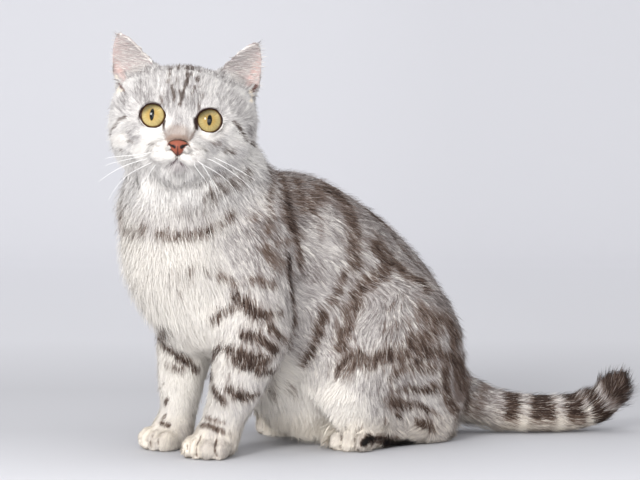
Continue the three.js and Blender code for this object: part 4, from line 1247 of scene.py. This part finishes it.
def splitCoat(roots):
    body = toBody(roots)
    inHead = toHead(roots)
    head = inHead[:, 2] > cutIs["crown"]
    for middle, half in (cutIs["skull"], cutIs["jaw"]):
        head |= ((inHead - middle) ** 2 / np.array(half) ** 2).sum(1) < 1
    face = head & (inHead[:, 0] > cutIs["face"])
    left = body[:, 1] > 0
    low = body[:, 2] < cutIs["hip"]
    front = body[:, 0] > cutIs["waist"]
    order = [
        ("faceCoatLeft", face & (inHead[:, 1] > 0)),
        ("faceCoatRight", face),
        ("headCoat", head),
        ("tailCoat", body[:, 0] < tailIs["starts"]),
        ("legCoatLeft", low & front & left),
        ("legCoatRight", low & front),
        ("haunchCoatLeft", low & left),
        ("haunchCoatRight", low),
        ("shoulderCoatLeft", front & left),
        ("shoulderCoatRight", front),
        ("flankCoatLeft", left),
        ("flankCoatRight", ~left),
    ]
    taken = np.zeros(len(roots), bool)
    for name, test in order:
        mine = test & ~taken
        taken |= mine
        yield name, np.nonzero(mine)[0]


def clearOfEyes(roots, lie, length):
    room = furIs["eyeRoom"]
    gap, upper = eyeGap(toHead(roots))
    lid = room["above"] * blendIn(upper, 0, 8)
    endGap = eyeGap(toHead(roots + lie * length[:, None] * 0.85))[0]
    return (endGap > room["end"] + lid) & (gap > room["root"] + lid)


# The colours of the hairs at their roots and tips.
def hairColours(roots, lie, length, tone, fine, stray):
    showing = roots + lie * (length * 0.75)[:, None]
    tick = streaks(showing, lie, furIs["tick"], 61)
    lock = streaks(showing, lie, furIs["lock"], 64)
    count = len(roots)
    seen = roots + lie * (length * draws.uniform(*furIs["seen"], count))[:, None]
    dark = markAndShadeAt(seen)
    gaps, darker, cloud = speckIs["markGaps"], speckIs["darker"], speckIs["cloud"]
    dark *= np.where(draws.random(count) < gaps["share"], gaps["left"], 1) * (1 + draws.normal(0, 0.1, count))
    dark = dark + speckIs["mark"] * (tick + lock) * (dark > 0.06)
    grey = np.clip(tone, 0, 1.2) * (1 - 0.35 * fine)
    specks = draws.normal(0, speckIs["each"], count) + speckIs["tick"] * tick + speckIs["lock"] * lock
    shade = tone * 1.05 + grey * specks
    shade += grey * darker["by"] * (draws.random(count) < darker["share"])
    shade += speckIs["stray"] * stray * (tone > 1.1)
    shade += cloud["by"] * grey * softNoise(roots, cloud["grain"], 63)
    shade += speckIs["white"] * (draws.normal(0, 1, count) + tick)
    tips = toneColour(np.clip(shade + speckIs["tip"] * grey, 0, 1.95), np.clip(dark, 0, 1))
    base = toneColour(np.clip(shade * speckIs["base"], 0, 1.5), np.clip(dark * 0.8, 0, 1))
    tips = tips * draws.uniform(*speckIs["bright"], count)[:, None]
    cool = furIs["headCool"] * (1 - blendIn(fromHeadMiddle(roots), 60, 85))
    return [tinted(seen, mix(shown, shown.mean(1, keepdims=True), cool)) for shown in (base, tips)]


def growCoat():
    roots, ways = scatterRoots()
    lie, length, depth, tone = coatAt(roots)
    lie = flatOn(ways, lie)
    count = len(roots)
    fine = fineness(depth)
    sway, strayIs, riseIs = furIs["sway"], furIs["stray"], furIs["rise"]
    turn = softNoise(roots, sway["grain"], 62) * sway["wide"] + draws.normal(0, sway["each"], count)
    lie = unit(lie + np.cross(ways, lie) * turn[:, None])
    chance = strayIs["share"]
    for more, low, high in furIs["moreStray"]:
        chance = chance + more * blendIn(length / mm, low, high)
    stray = draws.random(count) < chance
    length = length * draws.uniform(*furIs["length"], count) * np.where(stray, strayIs["longer"], 1)
    lifted = (riseIs["mean"] + draws.normal(0, riseIs["spread"], count)).clip(*riseIs["limits"])
    rise = depth * lifted * np.where(stray, strayIs["higher"], 1)
    width = furIs["bodyWidth"] + (furIs["headWidth"] - furIs["bodyWidth"]) * fine
    width = width * mm * draws.uniform(*furIs["width"], count) * np.where(stray, strayIs["thinner"], 1)
    keep = clearOfEyes(roots, lie, length)
    facts = (x[keep] for x in (roots, ways, lie, length, rise, width, tone, fine, stray))
    roots, ways, lie, length, rise, width, tone, fine, stray = facts
    hairs = (roots, ways, lie, length, rise, width, *hairColours(roots, lie, length, tone, fine, stray))
    for name, mine in splitCoat(roots):
        bladeMesh(name, *(x[mine] for x in hairs))


growCoat()


# A piece of unmarked hairs that have one width and a tone each.
def thinHairs(name, roots, ways, lie, length, rise, width, tone, base=0.95):
    count = len(roots)
    tips = toneColour(tone, np.zeros(count))
    bladeMesh(name, roots, ways, lie, length, rise, np.full(count, width * mm), tips * base, tips)


# Thin pale hairs that sweep across the inside of each ear from its inner edge.
def growEars():
    wanted = furIs["ear"]
    corners, centre, bare = faceFacts()
    fade = 1 - 0.6 * blendIn(np.abs(toHead(centre)[:, 1]), *wanted["sparse"])
    roots, ways = scatter(corners, wanted["density"] * (bare > 0.5) * fade)
    lie = flatOn(ways, outwardAt(roots) + headMatrix[:, 2] * 0.1 + draws.normal(0, 0.12, roots.shape))
    count = len(roots)
    room = np.clip((66 - np.abs(toHead(roots)[:, 1])) / 14, 0.3, 1)
    length = wanted["length"] * mm * draws.uniform(0.6, 1.2, count) * room
    rise = wanted["rise"] * mm * draws.uniform(0.5, 1.4, count)
    tone = np.clip(draws.normal(wanted["tone"], 0.3, count), 0, 1.5)
    thinHairs("earHairs", roots, ways, lie, length, rise, wanted["width"], tone)


growEars()


# A few long hairs at the tip of each ear: where the tip shows, and which way they point.
def growTufts():
    wanted = furIs["tufts"]
    parts = []
    for px, py, right, down in furIs["tuftPixels"]:
        away = np.linalg.norm(skinPlaces - onSurface(skinTree, px, py), axis=1)
        near = np.nonzero(away < wanted["spread"] * mm)[0]
        picked = draws.choice(near, wanted["hairs"])
        lie = unit(seenWay(right, down) + draws.normal(0, wanted["splay"], (len(picked), 3)))
        parts.append((skinPlaces[picked], skinWays[picked], lie))
    roots, ways, lie = (np.concatenate(rows) for rows in zip(*parts))
    count = len(roots)
    length = wanted["length"] * mm * draws.uniform(0.5, 1.1, count)
    tone = np.full(count, wanted["tone"])
    thinHairs("earTufts", roots, ways, lie, length, length * 0.05, wanted["width"], tone, 1)


growTufts()

eyeIs = {
    "radius": 0.011,
    "pupilPixels": {"left_eye": (209.6, 120.1), "right_eye": (151.9, 114.4)},
    "iris": 8.6,
    "slit": {"left_eye": (1.9, 4.1), "right_eye": (1.75, 4.6)},
    # How much darker each eye is painted: painted shade, with the cat's left eye lying more in shadow.
    "shade": {"left_eye": 0.82, "right_eye": 0.95},
    "lidShadow": 0.78,
    "fibres": 0.28,
    "colours": {
        "inner": (176, 146, 84),
        "outer": (186, 166, 110),
        "rim": (104, 78, 46),
        "around": (74, 50, 36),
        "pupil": (2, 10, 11),
        "back": (60, 48, 40),
    },
}
irisLook = newMaterial(
    "iris",
    "irisColour",
    Roughness=0.4,
    Specular_IOR_Level=0.0,
    Coat_Weight=1.0,
    Coat_IOR=1.34,
    Coat_Roughness=0.05,
)


# The colours of an eye: places across, up and out along the gaze, in millimetres from the ball's middle.
def irisColours(node, across, up, out):
    paint = {name: linear(*colour) for name, colour in eyeIs["colours"].items()}
    radius = np.hypot(across, up)
    angle = np.arctan2(up, across)
    share = radius / eyeIs["iris"]
    ring = np.stack([np.cos(angle) * 9, np.sin(angle) * 9, radius * 0.25], 1)
    fibres = softNoise(ring, 0.7, 41) * 0.5 + softNoise(ring * (1, 1, 0.5), 0.3, 42) * 0.5
    colour = mix(paint["inner"], paint["outer"], blendIn(share, 0.3, 0.8))
    colour *= 1 + eyeIs["fibres"] * fibres[:, None]
    colour *= 1 - eyeIs["lidShadow"] * blendIn((up - 0.5 * across) / eyeIs["iris"], 0.1, 0.95)[:, None]
    # Painted shade: each eye is darkened by its own share.
    colour *= eyeIs["shade"][node]
    colour = mix(colour, paint["rim"], blendIn(share, 0.92, 1.0))
    colour = mix(colour, paint["around"], blendIn(share, 1.0, 1.06))
    wide, high = eyeIs["slit"][node]
    pupil = np.hypot(across / wide, up / high)
    colour = mix(colour, paint["pupil"], 1 - blendIn(pupil, 0.9, 1.1))
    colour[out < 0] = paint["back"]
    return colour


def makeEye(node):
    centre = middleOf(node)
    start, way = sightLine(*eyeIs["pupilPixels"][node])
    toCentre = centre - start
    along = toCentre.dot(way)
    off = (toCentre - way * along).length
    front = start + way * (along - math.sqrt(max(eyeIs["radius"] ** 2 - off**2, 0)))
    gaze = (front - centre).normalized()
    shape = bmesh.new()
    bmesh.ops.create_uvsphere(shape, u_segments=96, v_segments=80, radius=eyeIs["radius"])
    turn = gaze.to_track_quat("Z", "Y").to_matrix().to_4x4()
    bmesh.ops.transform(shape, matrix=turn, verts=shape.verts)
    bmesh.ops.translate(shape, vec=centre, verts=shape.verts)
    piece = showShape("leftEyeball" if node == "left_eye" else "rightEyeball", node + "Ball", shape)
    mesh = piece.data
    side = (headTurn @ Vector((0, 0, 1))).cross(gaze).normalized()
    local = (vertexPlaces(mesh) - np.array(centre)) / mm
    across, up, out = (local @ np.array(way) for way in (side, gaze.cross(side), gaze))
    giveColours(mesh, "irisColour", irisColours(node, across, up, out))
    mesh.materials.append(irisLook)
    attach(piece, "root")
    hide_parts(node)


for eyeNode in eyeIs["pupilPixels"]:
    makeEye(eyeNode)
print("eyes")

noseIs = {
    "edge": {"hairs": 700, "length": 4.2, "rise": 0.45, "width": 0.34, "tone": 0.2},
    "voxel": 0.00035,
    "soften": 6,
    "swell": 0.0006,
    "colour": (142, 76, 56),
    "tints": {"fur": (232, 224, 218), "nostrilShade": (14, 8, 7), "creaseShade": (72, 34, 26)},
    "lines": [
        ("fur", 1.5, 1, [(169.3, 147.2), (171.6, 150.4), (173.6, 153)]),
        ("fur", 2.3, 1, [(187.2, 148), (185.3, 150.4), (182.6, 152.8), (180.6, 154.4)]),
        # Painted shade in the crease down the middle and at the bottom of the leather.
        ("creaseShade", 1, 0.9, [(177.6, 153), (177.4, 155.5)]),
        ("creaseShade", 0.55, 0.9, [(177.8, 146.5), (177.6, 150), (177.5, 154)]),
        # The nostrils are painted shade: dark commas where the openings lie, with no holes in the leather.
        ("nostrilShade", 1.35, 1, [(174.2, 147), (172.8, 146.2)]),
        ("nostrilShade", 0.8, 0.95, [(172.2, 146), (169, 144), (166, 142.6)]),
        ("nostrilShade", 1.5, 1, [(181.6, 147.2), (183, 146.4)]),
        ("nostrilShade", 0.85, 0.95, [(183.2, 146), (187, 144.8), (190.4, 143.8)]),
    ],
}


# Short hairs that hide the leather's lower sides. They grow where its colours turn to fur.
def growNoseEdge(places, ways, share):
    wanted = noseIs["edge"]
    picked = draws.choice(np.nonzero(share > 0.6)[0], wanted["hairs"])
    roots, ways = places[picked], ways[picked]
    lie = outwardAt(roots) - 0.75 * headMatrix[:, 2] - 0.25 * headMatrix[:, 0]
    lie = unit(lie + draws.normal(0, 0.1, roots.shape))
    count = len(roots)
    length = wanted["length"] * mm * draws.uniform(0.6, 1.15, count)
    tone = np.clip(draws.normal(wanted["tone"], 0.15, count), 0, 1)
    rise = np.full(count, wanted["rise"] * mm)
    thinHairs("noseEdgeCoat", roots, ways, lie, length, rise, wanted["width"], tone)


def makeNose():
    piece = mergedCopy("noseLeather", ["nose"])
    applyModifier(piece, "REMESH", mode="VOXEL", voxel_size=noseIs["voxel"], adaptivity=0)
    applyModifier(piece, "SMOOTH", factor=0.5, iterations=noseIs["soften"])
    mesh = piece.data
    moveVertices(mesh, vertexPlaces(mesh) + vertexNormals(mesh) * noseIs["swell"])
    places = vertexPlaces(mesh)
    colours = linear(*noseIs["colour"]) * (1 + 0.12 * softNoise(places, 0.0008, 51))[:, None]
    colours *= (1 - 0.4 * blendIn(np.abs(toHead(places)[:, 1]), 4.5, 8.0))[:, None]
    tree = surfaceTree(piece)
    furred = np.zeros(len(places))
    for tint, half, strength, pixels in noseIs["lines"]:
        line = np.array([onSurface(tree, *pixel) for pixel in pixels])
        share = strength * (1 - blendIn(awayFrom(places, line), half * 0.6, half * 1.3))
        colours = mix(colours, linear(*noseIs["tints"][tint]), share)
        if tint == "fur":
            furred = np.maximum(furred, share)
    growNoseEdge(places, vertexNormals(mesh), furred)
    giveColours(mesh, "leatherColour", colours)
    look = newMaterial("noseLeather", "leatherColour", Roughness=0.5, Specular_IOR_Level=0.3)
    addGrain(look, "ShaderNodeTexVoronoi", "Distance", 2200, 0.4, 0.0002)
    mesh.materials.clear()
    mesh.materials.append(look)
    shadeSmooth(mesh)
    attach(piece, "root")
    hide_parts("nose")


makeNose()
print("nose")

# Each line starts at its root on the muzzle and goes on through the places where the whisker shows.
whiskerIs = {
    "radius": 0.00025,
    "tip": 0.00007,
    "sides": 5,
    "steps": 14,
    "clear": 0.009,  # how far it stays before the coat
    "lines": [
        [(206, 158.5), (214.4, 163.2), (229.5, 169.2), (240.5, 177.7), (250.8, 189.8), (253.8, 192.9)],
        [(198, 161), (203.5, 165.6), (212.6, 169.2), (222.3, 176.5), (230.8, 185), (239.2, 197)],
        [(200, 163), (204.7, 169.2), (211.4, 179), (216.2, 192.9), (216.8, 199.5)],
        [(194, 163), (198, 170.5), (205.3, 180.2), (209, 190)],
        [(212, 157), (226, 163), (241.7, 171.7), (256.8, 180.8)],
        [(152, 152), (135, 155), (117, 156.5), (105, 159)],
        [(150, 154), (135.3, 157.7), (116.5, 162), (105, 166.2)],
        [(150, 158), (135.3, 162.6), (120.2, 166.8), (112.9, 172.3), (105, 177), (98, 182)],
        [(154, 161), (143.8, 165.6), (135.3, 171), (125.6, 177), (117, 185.6), (108.6, 200)],
        [(158, 163), (151, 171), (146, 182), (143, 192)],
    ],
}


# A smooth curve through the places of one whisker, or straight lines where there are only a few.
def whiskerCourse(pixels):
    root = Vector(onSurface(skinTree, *pixels[0]))
    forward = cameraTurn @ Vector((0, 0, -1))
    near = (root - camera.location).dot(forward)
    course = [np.array(root)]
    for px, py in pixels[1:]:
        start, way = sightLine(px, py)
        hit = skinTree.ray_cast(start, way)[0]
        if hit is not None:
            near = min(near, (hit - start).dot(forward) - whiskerIs["clear"])
        course.append(np.array(start + way * (near / way.dot(forward))))
    course = np.array(course)
    knots = np.linspace(0, 1, len(course))
    stations = np.linspace(0, 1, whiskerIs["steps"])
    if len(course) <= 3:
        return np.stack([np.interp(stations, knots, course[:, k]) for k in range(3)], 1)
    bends = np.polyfit(knots, course, 3, w=[6] + [1] * (len(course) - 1))  # the root holds the curve most
    return sum(bends[k] * stations[:, None] ** (3 - k) for k in range(4))


def makeWhiskers():
    places, faces, patches = [], [], []
    sides = whiskerIs["sides"]
    total = len(whiskerIs["lines"])
    for number, pixels in enumerate(whiskerIs["lines"]):
        course = whiskerCourse(pixels)
        first = len(places)
        last = len(course) - 1
        for k, centre in enumerate(course):
            way = unit(course[min(k + 1, last)] - course[max(k - 1, 0)])
            side = unit(np.cross(way, (0.1, 0.2, 0.97)))
            rise = np.cross(side, way)
            radius = whiskerIs["radius"] + (whiskerIs["tip"] - whiskerIs["radius"]) * k / last
            for j in range(sides):
                turn = 2 * math.pi * j / sides
                places.append(centre + (side * math.cos(turn) + rise * math.sin(turn)) * radius)
                patches.append(((number + 0.1 + 0.8 * j / sides) / total, k / last))
        for k in range(last):
            for j in range(sides):
                a, b = first + k * sides + j, first + k * sides + (j + 1) % sides
                faces.append((a, b, b + sides, a + sides))
        faces.append(tuple(first + last * sides + j for j in range(sides)))
    mesh = bpy.data.meshes.new("whiskers")
    mesh.from_pydata(places, [], faces)
    layer = mesh.uv_layers.new(name="OFBake")
    for loop in mesh.loops:
        layer.data[loop.index].uv = patches[loop.vertex_index]
    piece = showMesh("whiskers", mesh)
    mesh.materials.append(newMaterial("whisker", Base_Color=(0.9, 0.89, 0.87, 1), Roughness=0.45))
    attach(piece, "root")


makeWhiskers()
print("whiskers")

roomIs = {
    "away": (-0.545, -0.839),  # from the camera past the cat
    "back": 4.0,
    "bend": 1.4,
    "bendSteps": 16,
    "height": 3.4,
    # Across the view the paper is painted darker to the right: painted shade where the light falls off.
    "sides": {"off": (5.0, 0.3, 0.0, -0.3, -5.0), "level": (0.96, 0.95, 0.99, 1.01, 1.01)},
    "colour": (0.98, 0.98, 1.02),
    "shades": {  # how pale the paper is painted at each distance, as painted light and shade; the last is the wall
        "out": (-7, -0.2, 0.05, 0.35, 0.9, 2.6, 4.0),
        "level": (0.62, 0.6, 0.47, 0.45, 0.6, 0.75, 0.76),
    },
    "aim": (0.05, 0, 0.15),
    "key": {"at": (2.5, 1.45, 1.3), "size": 0.8, "power": 64},
    "low": {"at": (1.3, 1.9, 0.3), "size": 1.2, "power": 18},
    "top": {"at": (0.3, 0.5, 2.8), "size": 3.0, "power": 26},
    "sky": (0.97, 0.975, 1.0, 1),
    "skyStrength": 0.85,
}


# A floor that bends up into a wall far behind the cat.
def makeFloor():
    ahead = np.array((*roomIs["away"], 0.0))
    across = np.array((ahead[1], -ahead[0], 0.0))
    back, bend, steps = roomIs["back"], roomIs["bend"], roomIs["bendSteps"]
    shades, sides = roomIs["shades"], roomIs["sides"]
    profile = [(out, 0.0) for out in shades["out"][:-1]]
    for k in range(1, steps + 1):
        turn = math.pi / 2 * k / steps
        profile.append((back - bend + bend * math.sin(turn), bend - bend * math.cos(turn)))
    profile.append((back, roomIs["height"]))
    places = [ahead * out + across * side + (0, 0, up) for out, up in profile for side in sides["off"]]
    wide = len(sides["off"])
    corners = [k * wide + j for k in range(len(profile) - 1) for j in range(wide - 1)]
    faces = [(k, k + 1, k + 1 + wide, k + wide) for k in corners]
    mesh = bpy.data.meshes.new("floor")
    mesh.from_pydata(places, [], faces)
    floor = showMesh("floor", mesh)
    # The paper's colour carries painted light and shade, darker just behind the cat and to the right.
    levels = np.interp([out for out, up in profile], shades["out"], shades["level"])
    levels = np.outer(levels, sides["level"]).ravel()
    giveColours(mesh, "paperWithPaintedLight", levels[:, None] * np.array(roomIs["colour"]))
    mesh.materials.append(newMaterial("floor", "paperWithPaintedLight", Roughness=0.7))


def makeLight(name):
    wanted = roomIs[name]
    data = bpy.data.lights.new(name, "AREA")
    data.size = wanted["size"]
    data.energy = wanted["power"]
    lamp = addObject(name, data)
    lamp.location = wanted["at"]
    aim = Vector(roomIs["aim"]) - Vector(wanted["at"])
    lamp.rotation_euler = aim.to_track_quat("-Z", "Y").to_euler()


def makeSky():
    world = bpy.data.worlds.new("studio")
    world.use_nodes = True
    background = world.node_tree.nodes["Background"]
    background.inputs["Color"].default_value = roomIs["sky"]
    background.inputs["Strength"].default_value = roomIs["skyStrength"]
    bpy.context.scene.world = world
    bpy.context.scene.view_settings.view_transform = "Standard"


makeFloor()
for light in ("key", "low", "top"):
    makeLight(light)
makeSky()
